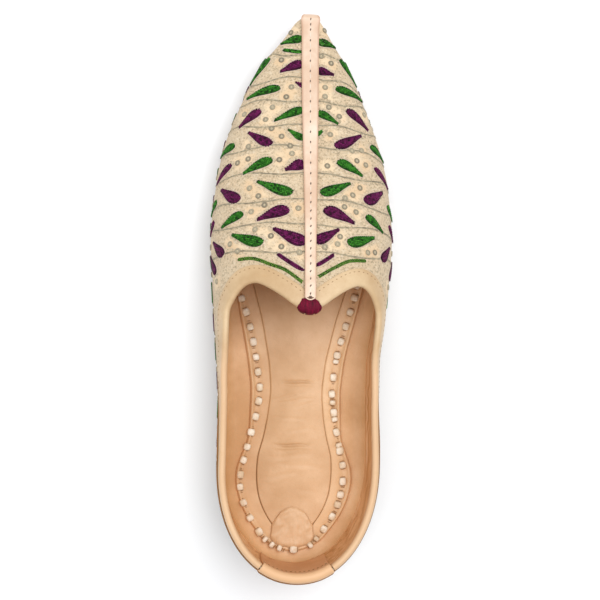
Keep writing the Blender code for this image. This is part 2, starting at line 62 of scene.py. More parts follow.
BALL_WIDTH = 0.0862
INSTEP_HEIGHT = 0.062
HEEL_COLLAR_HEIGHT = 0.054
SIDE_COLLAR_HEIGHT = 0.0455
BACK_LEAN = 0.0013
COLLAR_LEAN = 0.0009
WALL = 0.002
GAP = 0.0003
SOLE_THICKNESS = 0.0045
HEEL_LIFT = 0.0045
TOE_SPRING = 0.0065
SOLE_INSET = 0.0065
MARGIN_WIDTH = 0.0075
INSOLE_CLEARANCE = 0.0008
INSOLE_THICKNESS = 0.0018
PANEL_THICKNESS = 0.001
BAND_WIDTH = 0.0065
BAND_THICKNESS = 0.0008
STRIP_FRONT_WIDTH = 0.0082
STRIP_THROAT_WIDTH = 0.0057
STRIP_THICKNESS = 0.0012
STRIP_OVERHANG = 0.0015
STRAP_HALF_WIDTH = 0.017
STRAP_THICKNESS = 0.001
KNOT_WIDTH = 0.0111
KNOT_LENGTH = 0.0085
KNOT_HEIGHT = 0.0068

HEEL_ROUND = 0.20
HEEL_BREAST = 0.27
THROAT_POINT = 0.463
THROAT_CREST = 0.517
BALL = 0.60
NOSE = 0.975
INSOLE_FRONT = 0.87

HEEL_POWER = 2.1
NOSE_SOLID = 0.022
NOSE_DROOP = 0.55
EDGE_SHARE = 0.7
LONGEST_DEPTH = 1.75

HALF = BALL_WIDTH / 2
STRAP_PROUD = GAP + STRAP_THICKNESS
UPPER_LENGTH = LENGTH - STRIP_OVERHANG - STRAP_PROUD
BACK_Y = STRAP_PROUD - LENGTH / 2
EDGE_TAPER = (SOLE_INSET + MARGIN_WIDTH) / EDGE_SHARE
INSOLE_FACE = WALL + GAP + INSOLE_THICKNESS
PANEL_UNDER = INSOLE_FACE + GAP
PANEL_FACE = PANEL_UNDER + PANEL_THICKNESS
TAB_FACE = PANEL_FACE + GAP + PANEL_THICKNESS
BAND_FACE = GAP + BAND_THICKNESS
STRIP_ON_BAND = BAND_FACE + GAP
NUDGE = 1e-4

# Half widths and the ridge's place are shares of half the ball width, heights shares of the instep height
Section = namedtuple("Section", "along left right ridge widest crown top_power low_power")
SECTIONS = [
    Section(0.000, 0.860, 0.860, 0.000, 0.460, 1.450, 3.00, 5.0),
    Section(0.200, 0.860, 0.860, 0.000, 0.450, 1.400, 3.00, 4.2),
    Section(0.300, 0.870, 0.842, 0.004, 0.440, 1.250, 3.00, 4.0),
    Section(0.370, 0.900, 0.845, 0.016, 0.420, 1.120, 2.90, 3.8),
    Section(0.440, 0.940, 0.898, 0.027, 0.390, 1.020, 2.70, 3.6),
    Section(0.510, 0.974, 0.956, 0.030, 0.350, 0.955, 2.45, 3.5),
    Section(0.600, 1.011, 0.989, 0.029, 0.310, 0.835, 2.30, 3.4),
    Section(0.690, 0.970, 0.935, 0.026, 0.290, 0.700, 2.20, 3.3),
    Section(0.760, 0.889, 0.833, 0.022, 0.275, 0.595, 2.20, 3.2),
    Section(0.830, 0.736, 0.671, 0.018, 0.260, 0.490, 2.20, 3.0),
    Section(0.905, 0.522, 0.462, 0.014, 0.250, 0.390, 2.20, 2.8),
    Section(0.960, 0.265, 0.248, 0.011, 0.255, 0.335, 2.20, 2.6),
    Section(1.000, 0.105, 0.100, 0.009, 0.270, 0.320, 2.20, 2.4),
]

# Shares of the heel's lift and of the toe's spring
Lift = namedtuple("Lift", "along heel toe")
LIFTS = [
    Lift(0.00, 1.00, 0.00),
    Lift(0.20, 1.00, 0.00),
    Lift(0.27, 0.97, 0.00),
    Lift(0.35, 0.78, 0.00),
    Lift(0.42, 0.50, 0.00),
    Lift(0.50, 0.20, 0.00),
    Lift(0.56, 0.04, 0.00),
    Lift(0.60, 0.00, 0.00),
    Lift(0.72, 0.00, 0.00),
    Lift(0.80, 0.00, 0.08),
    Lift(0.86, 0.00, 0.25),
    Lift(0.92, 0.00, 0.50),
    Lift(0.96, 0.00, 0.75),
    Lift(1.00, 0.00, 1.10),
]

# The throat's two lobes: depth runs from 0 at their crest to 1 at the point between them
Throat = namedtuple("Throat", "depth inner outer")
THROAT = [
    Throat(0.00, 0.560, 0.560),
    Throat(0.25, 0.474, 0.652),
    Throat(0.50, 0.351, 0.735),
    Throat(0.75, 0.194, 0.811),
    Throat(1.00, 0.020, 0.879),
    Throat(1.35, 0.020, 0.912),
    Throat(LONGEST_DEPTH, 0.020, 0.930),
]

# The collar's height between its height at the sides, 0, and at the back, 1
Collar = namedtuple("Collar", "along height")
COLLAR = [
    Collar(0.00, 1.00),
    Collar(0.03, 0.93),
    Collar(0.07, 0.66),
    Collar(0.12, 0.38),
    Collar(0.20, 0.13),
    Collar(0.28, 0.00),
    Collar(0.34, 0.00),
    Collar(0.40, 0.07),
    Collar(0.46, 0.20),
]

# Half widths of the sock panel, the border round it and the thong on the border, as shares of the shoe's
Footbed = namedtuple("Footbed", "along sock border thong_left thong_right")
FOOTBED = [
    Footbed(0.000, 0.6600, 0.800, 0.765, 0.765),
    Footbed(0.030, 0.6200, 0.790, 0.770, 0.765),
    Footbed(0.062, 0.5530, 0.785, 0.755, 0.715),
    Footbed(0.090, 0.5340, 0.765, 0.733, 0.690),
    Footbed(0.130, 0.5220, 0.780, 0.738, 0.680),
    Footbed(0.160, 0.5040, 0.785, 0.728, 0.663),
    Footbed(0.180, 0.4900, 0.760, 0.690, 0.647),
    Footbed(0.200, 0.4750, 0.700, 0.648, 0.612),
    Footbed(0.240, 0.4060, 0.610, 0.577, 0.552),
    Footbed(0.280, 0.3600, 0.598, 0.508, 0.505),
    Footbed(0.320, 0.3370, 0.592, 0.474, 0.468),
    Footbed(0.360, 0.3550, 0.615, 0.505, 0.488),
    Footbed(0.410, 0.4070, 0.660, 0.558, 0.540),
    Footbed(0.450, 0.4525, 0.700, 0.614, 0.597),
    Footbed(0.490, 0.5150, 0.735, 0.687, 0.647),
    Footbed(0.550, 0.5900, 0.780, 0.720, 0.690),
    Footbed(0.650, 0.6400, 0.800, 0.760, 0.740),
    Footbed(0.750, 0.6400, 0.780, 0.740, 0.730),
    Footbed(0.860, 0.5000, 0.660, 0.600, 0.600),
]

# The half-round tab at the back of the footbed, front edge and rear edge as shares of the half width
Tab = namedtuple("Tab", "along front rear")
TAB = [
    Tab(0.0000, 0.214, 0.751),
    Tab(0.0250, 0.235, 0.744),
    Tab(0.0370, 0.258, 0.740),
    Tab(0.0450, 0.285, 0.722),
    Tab(0.0522, 0.318, 0.697),
    Tab(0.0571, 0.347, 0.624),
    Tab(0.0605, 0.420, 0.590),
    Tab(0.0632, 0.540, 0.562),
]

# Sizes of the embroidery and of the stitches
CLOTH_THICKNESS = 0.0011
LEAF_HEIGHT = 0.0005
LEAF_FULL = 0.72
STITCH_LENGTH = 0.00135
STITCH_WIDTH = 0.00085
THREAD = 0.00016
RING = 0.00102
RING_THREAD = 0.0004
BAND_OUTSIDE = 0.00075
BAND_INSIDE = 0.0004
THONG = 0.0031
THONG_HEIGHT = 0.0022
BACK_STITCHES = 0.075
BACK_RAISE = 0.0011
NOSE_PLUG = (0.0062, 0.0060, 0.0050)
FOLD_RADIUS = 0.003
FOLD_GAP = 0.0008
DARK_EDGE_LINE_DROP = 0.0042
DARK_EDGE_LINE_RADIUS = 0.0005
BAND_STITCH_STEP = 0.0024
STRAP_STITCH_STEP = 0.0021
STRAP_STITCH_DROP = 0.009
SOLE_STITCH_STEP = 0.0042
SOLE_STITCH_START = 0.0012
SOLE_STITCH_INSET = 0.0042
SOLE_STITCH_LIFT = 0.00025
FOOTBED_SKIN = 0.0008
INSOLE_LIFT = 0.00015
CREASE_STRENGTH = 1.2

# How much of the strip's width shows between its turned edges
SEEN_AT_THROAT = 0.88
SEEN_AT_FRONT = 0.97

# Length, width and height of the stitches in each row
STITCHES = {
    "throat_lines": (0.0013, 0.0008, 0.0007),
    "strap_stitches": (0.0011, 0.0004, 0.0004),
    "band_stitches": (0.0009, 0.00032, 0.0003),
    "strip_stitches": (0.0014, 0.0007, 0.0004),
    "strip_thread_and_highlight": (0.001, 0.0004, 0.0003),
    "strip_hole_shade": (0.0017, 0.0008, 0.0005),
    "thong_slits": (THONG * 0.85, 0.0006, 0.0005),
    "sole_stitches": (0.0028, 0.0009, 0.0007),
}

# Leaves on the vamp, from the tip to the round end, each place a share of the length and a rise
Leaf = namedtuple("Leaf", "side tip_along tip_rise end_along end_rise width")
GREEN_LEAVES = [
    Leaf(-1, 0.945, 0.294, 0.955, 0.841, 0.0044),
    Leaf(-1, 0.935, 0.487, 0.931, 0.888, 0.0019),
    Leaf(+1, 0.943, 0.247, 0.950, 0.815, 0.0042),
    Leaf(-1, 0.866, 0.127, 0.919, 0.309, 0.0036),
    Leaf(+1, 0.872, 0.143, 0.922, 0.377, 0.0036),
    Leaf(-1, 0.840, 0.247, 0.861, 0.690, 0.0044),
    Leaf(+1, 0.845, 0.175, 0.864, 0.679, 0.0044),
    Leaf(-1, 0.798, 0.695, 0.822, 0.958, 0.0044),
    Leaf(+1, 0.798, 0.731, 0.817, 0.935, 0.0042),
    Leaf(-1, 0.784, 0.825, 0.768, 0.962, 0.0037),
    Leaf(+1, 0.784, 0.890, 0.776, 0.955, 0.0023),
    Leaf(-1, 0.733, 0.054, 0.754, 0.356, 0.0042),
    Leaf(+1, 0.737, 0.137, 0.762, 0.407, 0.0042),
    Leaf(-1, 0.700, 0.502, 0.727, 0.731, 0.0049),
    Leaf(+1, 0.704, 0.570, 0.728, 0.788, 0.0049),
    Leaf(-1, 0.689, 0.623, 0.670, 0.884, 0.0055),
    Leaf(+1, 0.692, 0.686, 0.671, 0.931, 0.0053),
    Leaf(-1, 0.604, 0.340, 0.630, 0.548, 0.0044),
    Leaf(+1, 0.606, 0.413, 0.633, 0.587, 0.0044),
    Leaf(-1, 0.628, 0.059, 0.654, 0.216, 0.0038),
    Leaf(+1, 0.630, 0.158, 0.657, 0.288, 0.0038),
    Leaf(-1, 0.594, 0.455, 0.581, 0.699, 0.0055),
    Leaf(+1, 0.598, 0.507, 0.586, 0.742, 0.0055),
]
PURPLE_LEAVES = [
    Leaf(-1, 0.891, 0.627, 0.908, 0.925, 0.0049),
    Leaf(+1, 0.890, 0.649, 0.895, 0.909, 0.0045),
    Leaf(-1, 0.873, 0.841, 0.867, 0.951, 0.0026),
    Leaf(-1, 0.786, 0.335, 0.818, 0.549, 0.0047),
    Leaf(+1, 0.790, 0.352, 0.826, 0.602, 0.0047),
    Leaf(-1, 0.779, 0.471, 0.757, 0.715, 0.0049),
    Leaf(+1, 0.782, 0.486, 0.757, 0.795, 0.0052),
    Leaf(-1, 0.709, 0.825, 0.720, 0.966, 0.0057),
    Leaf(-1, 0.683, 0.138, 0.719, 0.371, 0.0035),
    Leaf(+1, 0.686, 0.184, 0.723, 0.420, 0.0035),
    Leaf(-1, 0.676, 0.263, 0.656, 0.508, 0.0057),
    Leaf(+1, 0.682, 0.339, 0.661, 0.586, 0.0057),
    Leaf(-1, 0.618, 0.648, 0.638, 0.863, 0.0059),
    Leaf(+1, 0.618, 0.679, 0.640, 0.909, 0.0059),
    Leaf(-1, 0.606, 0.757, 0.584, 0.981, 0.0063),
    Leaf(+1, 0.608, 0.799, 0.586, 0.981, 0.0054),
    Leaf(-1, 0.582, 0.211, 0.560, 0.383, 0.0052),
    Leaf(+1, 0.584, 0.283, 0.560, 0.435, 0.0047),
    Leaf(-1, 0.592, 0.100, 0.618, 0.210, 0.0034),
    Leaf(+1, 0.592, 0.165, 0.621, 0.300, 0.0034),
    Leaf(-1, 0.562, 0.790, 0.534, 0.961, 0.0019),
    Leaf(+1, 0.564, 0.836, 0.543, 0.965, 0.0019),
]

# The green line that follows the throat on each side, and the grey ring knots
Place = namedtuple("Place", "side along rise")
THROAT_LINES = [
    [Place(-1, 0.550, 0.523), Place(-1, 0.552, 0.632), Place(-1, 0.543, 0.744), Place(-1, 0.534, 0.841),
     Place(-1, 0.514, 0.950)],
    [Place(1, 0.555, 0.600), Place(1, 0.553, 0.726), Place(1, 0.540, 0.835), Place(1, 0.524, 0.944)],
]
LEFT_RINGS = [
    (0.915, 0.580), (0.864, 0.805), (0.845, 0.769), (0.825, 0.654), (0.802, 0.617), (0.771, 0.779),
    (0.785, 0.689), (0.754, 0.851), (0.740, 0.867), (0.752, 0.513), (0.728, 0.779), (0.729, 0.533),
    (0.722, 0.434), (0.676, 0.575), (0.662, 0.648), (0.646, 0.696), (0.634, 0.606), (0.642, 0.921),
    (0.603, 0.641), (0.592, 0.748), (0.574, 0.815), (0.577, 0.444), (0.565, 0.512), (0.565, 0.930),
    (0.813, 0.335), (0.968, 0.360),
]
RIGHT_RINGS = [
    (0.925, 0.789), (0.913, 0.633), (0.866, 0.809), (0.849, 0.825), (0.829, 0.799), (0.813, 0.701),
    (0.778, 0.820), (0.751, 0.637), (0.753, 0.534), (0.733, 0.606), (0.720, 0.867), (0.727, 0.518),
    (0.684, 0.611), (0.664, 0.742), (0.670, 0.679), (0.648, 0.752), (0.640, 0.664), (0.595, 0.792),
    (0.582, 0.810), (0.576, 0.899), (0.570, 0.575), (0.571, 0.507), (0.951, 0.674), (0.975, 0.330),
    (0.822, 0.300),
]

# Silver threads that sweep from the strip to the edge of the vamp, with where each starts and ends
Sweep = namedtuple("Sweep", "ridge edge")
SWEEPS = [
    Sweep(0.926, 0.922),
    Sweep(0.882, 0.860),
    Sweep(0.838, 0.829),
    Sweep(0.793, 0.780),
    Sweep(0.754, 0.731),
    Sweep(0.705, 0.685),
    Sweep(0.658, 0.632),
    Sweep(0.614, 0.596),
    Sweep(0.566, 0.550),
]

# Steps between the thong's stitches from the front one to the back of the heel, and the short ones
LEFT_START = 0.511
LEFT_STEPS = [7.0, 6.8, 7.4, 7.5, 7.3, 7.2, 7.5, 6.6, 7.6, 7.7, 7.3, 6.6, 7.1, 6.0, 7.6, 7.9, 8.2,
              4.4, 4.2, 4.0]
LEFT_SHORT = (18, 19, 20)
RIGHT_START = 0.542
RIGHT_STEPS = [7.0, 6.2, 7.2, 7.4, 7.6, 6.8, 3.2, 7.6, 8.0, 4.3, 4.8, 3.2, 6.3, 6.2, 3.0, 6.9, 7.9, 6.5, 5.0,
               6.3, 7.2, 5.7, 4.2]
RIGHT_SHORT = (7, 10, 12, 14, 22, 23)

# Soft creases across the sock panel: place, half span, slope, depth and half width
Crease = namedtuple("Crease", "x y half_span slope depth half_width")
CREASES = [
    Crease(0.0012, -0.0434, 0.0078, -0.06, 0.00050, 0.0007),
    Crease(-0.0006, -0.0739, 0.0092, -0.03, 0.00050, 0.0007),
    Crease(-0.0030, -0.0502, 0.0085, 0.20, 0.00014, 0.0007),
    Crease(0.0010, -0.0522, 0.0095, 0.10, 0.00012, 0.0006),
    Crease(0.0055, -0.0540, 0.0060, 0.28, 0.00012, 0.0006),
    Crease(-0.0020, -0.0610, 0.0080, -0.12, 0.00010, 0.0008),
    Crease(0.0020, -0.0665, 0.0070, 0.08, 0.00008, 0.0009),
    Crease(-0.0015, -0.0790, 0.0115, 0.10, 0.00013, 0.0010),
    Crease(0.0030, -0.0835, 0.0120, -0.08, 0.00010, 0.0010),
    Crease(-0.0055, -0.0885, 0.0090, 0.16, 0.00010, 0.0010),
    Crease(0.0045, -0.0955, 0.0080, -0.14, 0.00010, 0.0010),
]


def ease(share):
    """A share held between 0 and 1 and smoothed at both ends."""
    share = min(max(share, 0.0), 1.0)
    return share * share * (3 - 2 * share)


def blend(low, high, share):
    return low + (high - low) * share


def wave(*place):
    """A smooth random number between -1 and 1 for a place."""
    return noise.noise(Vector(place))


def read(table, column, at):
    """One named column of a table at a place, on a curve that passes its rows and never overshoots them."""
    places = [row[0] for row in table]
    values = [getattr(row, column) for row in table]
    at = min(max(at, places[0]), places[-1])
    slopes = [(b - a) / (q - p) for a, b, p, q in zip(values, values[1:], places, places[1:])]
    i = min(bisect_right(places, at), len(places) - 1) - 1

    def tangent(row):
        before, after = slopes[max(row - 1, 0)], slopes[min(row, len(slopes) - 1)]
        return 2 * before * after / (before + after) if before * after > 0 else 0.0

    step = places[i + 1] - places[i]
    t = (at - places[i]) / step
    start = values[i] * (1 + 2 * t) * (1 - t) ** 2 + tangent(i) * step * t * (1 - t) ** 2
    return start + values[i + 1] * t * t * (3 - 2 * t) + tangent(i + 1) * step * t * t * (t - 1)


@lru_cache(maxsize=None)
def section(along):
    return Section(along, *(read(SECTIONS, column, along) for column in Section._fields[1:]))


MIDDLE_X = HALF * (section(BALL).left - section(BALL).right) / 2


def reach(side, along):
    """How far the outline lies from the heel's centre line."""
    return HALF * (section(along).left if side < 0 else section(along).right)


@lru_cache(maxsize=None)
def sole_top(along):
    """The height of the sole's upper face at its edge."""
    return SOLE_THICKNESS + HEEL_LIFT * read(LIFTS, "heel", along) + TOE_SPRING * read(LIFTS, "toe", along)


def underside(along):
    """The sole's lower face: flat under the heel and the ball, raised in the arch and at the toe."""
    return 0.0 if along <= HEEL_BREAST else sole_top(along) - SOLE_THICKNESS


def edge_share(side, along, inset):
    """The share of the half width that lies an inset inside the outline, less so where the toe is narrow."""
    width = reach(side, along)
    return 1 - inset * min(1.0, width / EDGE_TAPER) / width


def plan(side, along, across):
    """x and y at a share of the length and a share of the half width. Rows fan out round the heel."""
    width = reach(side, along)
    if along >= HEEL_ROUND:
        ridge = HALF * section(along).ridge
        return MIDDLE_X + ridge + side * (width - side * ridge) * across, BACK_Y + along * UPPER_LENGTH
    turn = (1 - along / HEEL_ROUND) * pi / 2
    size = (cos(turn) ** HEEL_POWER + sin(turn) ** HEEL_POWER) ** (1 / HEEL_POWER)
    back = HEEL_ROUND * UPPER_LENGTH
    x = MIDDLE_X + side * width * across * cos(turn) / size
    return x, BACK_Y + back - (back - (1 - across) * width) * sin(turn) / size


def heel_turn(along):
    """0 along the sides and 1 at the middle of the back."""
    return sin((1 - min(along, HEEL_ROUND) / HEEL_ROUND) * pi / 2)


def partner(share, power):
    """The other coordinate of a point on a superellipse of size 1."""
    return (1 - min(share, 1.0) ** power) ** (1 / power)


@lru_cache(maxsize=None)
def low_depth(side, along):
    """How deep the section's lower half would reach if the sole's edge did not cut it flat."""
    shape = section(along)
    depth = shape.widest * INSTEP_HEIGHT - sole_top(along) - GAP
    return depth / partner(edge_share(side, along, SOLE_INSET), shape.low_power)


def rise_across(along, across, top=True):
    """The rise of the point of the section at a share of its half width."""
    shape = section(along)
    up = partner(across, shape.top_power if top else shape.low_power)
    return (1 if top else -1) * atan2(up, across) / (pi / 2)


def feather_rise(side, along):
    """The rise of the line where the upper turns under over the sole's edge."""
    return rise_across(along, edge_share(side, along, SOLE_INSET), top=False)


def rise_at_height(side, along, z):
    """The rise of the point of the section at a height."""
    shape = section(along)
    widest = shape.widest * INSTEP_HEIGHT
    if z > widest:
        up = (z - widest) / (shape.crown * INSTEP_HEIGHT - widest)
        return atan2(up, partner(up, shape.top_power)) / (pi / 2)
    up = (widest - z) / low_depth(side, along)
    return -atan2(up, partner(up, shape.low_power)) / (pi / 2)


@lru_cache(maxsize=None)
def collar_height(along):
    return blend(SIDE_COLLAR_HEIGHT, HEEL_COLLAR_HEIGHT, read(COLLAR, "height", along))


def bare(side, along, rise):
    """The upper's outer face, before the nose is rounded.

    Rise is 0 on the widest line, 1 on the ridge, and below 0 under the foot, down to -1 in the middle.
    """
    shape = section(along)
    power = shape.top_power if rise > 0 else shape.low_power
    across, up = abs(cos(rise * pi / 2)), abs(sin(rise * pi / 2))
    size = (across ** power + up ** power) ** (1 / power)
    x, y = plan(side, along, across / size)
    widest = shape.widest * INSTEP_HEIGHT
    if rise <= 0:
        return Vector((x, y, max(widest - low_depth(side, along) * up / size, sole_top(along) + GAP)))
    z = widest + (shape.crown * INSTEP_HEIGHT - widest) * up / size
    climb = (z - widest) / (collar_height(along) - widest)
    lean = COLLAR_LEAN * ease((z - 0.036) / 0.009) * ease((THROAT_POINT - along) / 0.09)
    lean *= 1 - heel_turn(along)
    return Vector((x - side * lean, y + BACK_LEAN * heel_turn(along) * climb * climb, z))


def outward(side, along, rise):
    """The direction straight out of the upper's face, which is straight down where the margin lies flat."""
    if rise <= feather_rise(side, along):
        return Vector((0, 0, -1))
    back, front = max(along - NUDGE, 0.0), min(along + NUDGE, 1.0)
    low, high = max(rise - NUDGE, -1.0), min(rise + NUDGE, 1.0)
    lengthwise = bare(side, front, rise) - bare(side, back, rise)
    upward = bare(side, along, high) - bare(side, along, low)
    normal = lengthwise.cross(upward).normalized()
    x, y = plan(side, max(along, HEEL_ROUND), 0.0)
    inside = Vector((x, y, section(along).widest * INSTEP_HEIGHT))
    return normal if normal.dot(bare(side, along, rise) - inside) > 0 else -normal


def spot(side, along, rise, offset=0.0):
    """A point at an offset from the upper's outer face, with the nose rounded off."""
    place = along + min(offset, 0.0) / WALL * NOSE_SOLID * ease((along - 0.88) / 0.12)
    point = bare(side, place, rise) + outward(side, place, rise) * offset
    past = (along - NOSE) / (1 - NOSE)
    if past > 0:
        full = sqrt(max(1 - past ** 4, 0.0))
        ridge = plan(side, place, 0.0)[0]
        middle = section(place).widest * INSTEP_HEIGHT
        point.x = blend(ridge, point.x, full)
        point.z = blend(middle, point.z, 1 - NOSE_DROOP * (1 - full))
    return point


def throat_depth(along):
    return sqrt(max(THROAT_CREST - along, 0.0) / (THROAT_CREST - THROAT_POINT))


def throat_along(depth):
    return THROAT_CREST - depth * depth * (THROAT_CREST - THROAT_POINT)


def top_rise(side, along):
    """The rise of the upper's edge: the lobe's outer side, then the collar."""
    depth = min(throat_depth(along), LONGEST_DEPTH)
    throat = rise_across(along, read(THROAT, "outer", depth))
    last = throat_along(LONGEST_DEPTH)
    if along >= THROAT_POINT:
        return throat
    collar = rise_at_height(side, along, collar_height(along))
    return blend(collar, throat, ease((along - last) / (THROAT_POINT - last)))


def heel_along(half_width):
    """The share of the length at which the heel's outline is that far from its middle."""
    low, high = 0.0, HEEL_ROUND
    for _ in range(40):
        middle = (low + high) / 2
        if plan(1, middle, 1.0)[0] - MIDDLE_X < half_width:
            low = middle
        else:
            high = middle
    return low


def walk(along, rise, heading, distance):
    """Crosses the face of the right-hand side by a distance, straight ahead, and stops at the ridge."""
    steps = 3
    for _ in range(steps):
        if rise == 1.0:
            break
        normal = outward(1, along, rise)
        heading = (heading - normal * heading.dot(normal)).normalized()
        lengthwise = (bare(1, along + NUDGE, rise) - bare(1, along - NUDGE, rise)) / (2 * NUDGE)
        upward = (bare(1, along, rise) - bare(1, along, rise - NUDGE)) / NUDGE
        ll, lu, uu = lengthwise.dot(lengthwise), lengthwise.dot(upward), upward.dot(upward)
        l_goal, u_goal = lengthwise.dot(heading), upward.dot(heading)
        reach_of_step = distance / steps / (ll * uu - lu * lu)
        along_step = (l_goal * uu - u_goal * lu) * reach_of_step
        rise_step = (u_goal * ll - l_goal * lu) * reach_of_step
        share = min(1.0, (1 - rise) / rise_step) if rise_step > 0 else 1.0
        along += along_step * share
        rise = 1.0 if share < 1 else rise + rise_step
    return along, rise, heading


def even(start, end, steps):
    """Evenly spaced numbers from start to end, both included."""
    return [blend(start, end, step / steps) for step in range(steps + 1)]


# Sheets, threads and stitches


def take(*pieces):
    """Selects these pieces alone, the first one active."""
    bpy.ops.object.select_all(action="DESELECT")
    for piece in pieces:
        piece.select_set(True)
    bpy.context.view_layer.objects.active = pieces[0]


def primitive(add, name, **sizes):
    """A fresh primitive, alone in the selection."""
    bpy.ops.object.select_all(action="DESELECT")
    add(**sizes)
    piece = bpy.context.object
    piece.name = name
    return piece


def join(name, *pieces):
    """Makes one mesh of these pieces."""
    take(*pieces)
    if len(pieces) > 1:
        bpy.ops.object.join()
    whole = bpy.context.object
    whole.name = whole.data.name = name
    return whole


def grid(name, rows, columns, place, out):
    """A grid with its points laid at place(row, column) and its faces turned the way of out(centre)."""
    piece = primitive(bpy.ops.mesh.primitive_grid_add, name, x_subdivisions=columns, y_subdivisions=rows,
                      size=1)
    for at, point in enumerate(piece.data.vertices):
        point.co = place(*divmod(at, columns + 1))
    piece.data.update()
    if sum(face.normal.dot(out(face.center)) * face.area for face in piece.data.polygons) < 0:
        piece.data.flip_normals()
    return piece


def sheet_of(name, rows, out):
    """A grid laid through rows of points."""
    return grid(name, len(rows) - 1, len(rows[0]) - 1, lambda row, column: rows[row][column], out)


def weld(name, pieces, distance=2e-5):
    """Joins sheets whose edges meet into one mesh."""
    whole = join(name, *pieces)
    bpy.ops.object.mode_set(mode="EDIT")
    bpy.ops.mesh.select_all(action="SELECT")
    bpy.ops.mesh.remove_doubles(threshold=distance)
    bpy.ops.mesh.dissolve_degenerate(threshold=distance / 2)
    bpy.ops.object.mode_set(mode="OBJECT")
    return whole


def change(piece, kind, **settings):
    """Applies one modifier to a piece."""
    take(piece)
    modifier = piece.modifiers.new(kind.lower(), kind)
    for setting, value in settings.items():
        setattr(modifier, setting, value)
    bpy.ops.object.modifier_apply(modifier=modifier.name)
    return piece


def thicken(piece, thickness, rounded=0.0):
    """Gives a sheet its thickness, on the side that its faces turn away from, and rounds its cut edges."""
    change(piece, "SOLIDIFY", thickness=thickness, offset=-1.0, use_even_offset=True)
    if rounded:
        change(piece, "BEVEL", width=rounded, segments=2, limit_method="ANGLE", angle_limit=radians(50))
    return piece


def smooth(piece, angle=50):
    take(piece)
    bpy.ops.object.shade_smooth_by_angle(angle=radians(angle))
    return piece


def mark_all(piece, name, values):
    """A number on every point of a piece, in their order, for its finish to read."""
    attribute = piece.data.attributes.new(name, "FLOAT", "POINT")
    attribute.data.foreach_set("value", list(values))


def mark(piece, name, value):
    """A number on every point of a piece, by where the point lies."""
    mark_all(piece, name, [value(point.co) for point in piece.data.vertices])


def threads(name, paths, radius, closed=False, sides=1):
    """Round threads of one thickness along paths, made one mesh."""
    curve = bpy.data.curves.new(name, "CURVE")
    curve.dimensions = "3D"
    curve.bevel_depth = radius
    curve.bevel_resolution = sides
    curve.use_fill_caps = not closed
    for path in paths:
        spline = curve.splines.new("POLY")
        spline.points.add(len(path) - 1)
        spline.points.foreach_set("co", [value for point in path for value in (*point, 1.0)])
        spline.use_cyclic_u = closed
    thread = bpy.data.objects.new(name, curve)
    bpy.context.collection.objects.link(thread)
    take(thread)
    bpy.ops.object.convert(target="MESH")
    return smooth(bpy.context.object, 80)


def repeat(name, model, places, tones=None):
    """One mesh with a copy of the model at each place, a 4x4 matrix, and the model itself removed."""
    corners = np.array([(*point.co, 1.0) for point in model.data.vertices])
    faces = [tuple(face.vertices) for face in model.data.polygons]
    points = np.concatenate([corners @ np.array(place).T for place in places])[:, :3]
    count = len(corners)
    mesh = bpy.data.meshes.new(name)
    mesh.from_pydata(points, [], [[at + n * count for at in face]
                                  for n in range(len(places)) for face in faces])
    mesh.shade_smooth()
    piece = bpy.data.objects.new(name, mesh)
    bpy.context.collection.objects.link(piece)
    tone = mesh.attributes.new("tone", "FLOAT", "POINT")
    tone.data.foreach_set("value", np.repeat(tones or [0.5] * len(places), count))
    bpy.data.objects.remove(model)
    return piece


def set_in(point, ahead, normal, size=(1.0, 1.0, 1.0)):
    """A place at a point, with X ahead and Z along the normal."""
    across = normal.cross(ahead).normalized()
    ahead = across.cross(normal)
    turn = Matrix((ahead * size[0], across * size[1], normal * size[2])).transposed().to_4x4()
    return Matrix.Translation(point) @ turn


def bead(name, length, width, height, segments=6, rings=4):
    """A small rounded stitch with its length along X."""
    stitch = primitive(bpy.ops.mesh.primitive_uv_sphere_add, name, segments=segments, ring_count=rings,
                       radius=0.5)
    bpy.ops.transform.rotate(value=pi / 2, orient_axis="Y", center_override=(0, 0, 0))
    bpy.ops.object.transform_apply(location=False, rotation=True, scale=False)
    bpy.ops.transform.resize(value=(length, width, height), center_override=(0, 0, 0))
    bpy.ops.object.transform_apply(location=False, rotation=False, scale=True)
    return stitch


# Finishes


def shade(text):
    """A colour written as RRGGBB in the linear values that the shaders use."""
    parts = [int(text[at:at + 2], 16) / 255 for at in (0, 2, 4)]
    return (*(part / 12.92 if part <= 0.04045 else ((part + 0.055) / 1.055) ** 2.4 for part in parts), 1.0)


def put(tree, kind, sockets=None, **settings):
    """Adds a node, with its properties set and its sockets filled by values or by other nodes' outputs."""
    node = tree.nodes.new(kind)
    for setting, value in settings.items():
        setattr(node, setting, value)
    for socket, value in (sockets or {}).items():
        if isinstance(value, bpy.types.NodeSocket):
            tree.links.new(value, node.inputs[socket])
        else:
            node.inputs[socket].default_value = value
    return node


def calc(tree, operation, a, b=0.0, clamp=False):
    return put(tree, "ShaderNodeMath", {0: a, 1: b}, operation=operation, use_clamp=clamp).outputs[0]


def mix(tree, share, a, b, way="MIX"):
    sockets = {"Factor": share, 6: a, 7: b}
    return put(tree, "ShaderNodeMix", sockets, data_type="RGBA", blend_type=way).outputs[2]


def span(tree, value, low, high, start=0.0, end=1.0):
    """Stretches a value from low..high to start..end and holds it there."""
    sockets = {0: value, 1: low, 2: high, 3: start, 4: end}
    return put(tree, "ShaderNodeMapRange", sockets, interpolation_type="SMOOTHSTEP").outputs[0]


def tint(tree, under, value, low, high, colour, most=1.0):
    """Lays a colour over another, more of it as the value goes from low to high."""
    return mix(tree, span(tree, value, low, high, 0.0, most), under, shade(colour))


def paint(tree, shader, colour):
    tree.links.new(colour, shader.inputs["Base Color"])


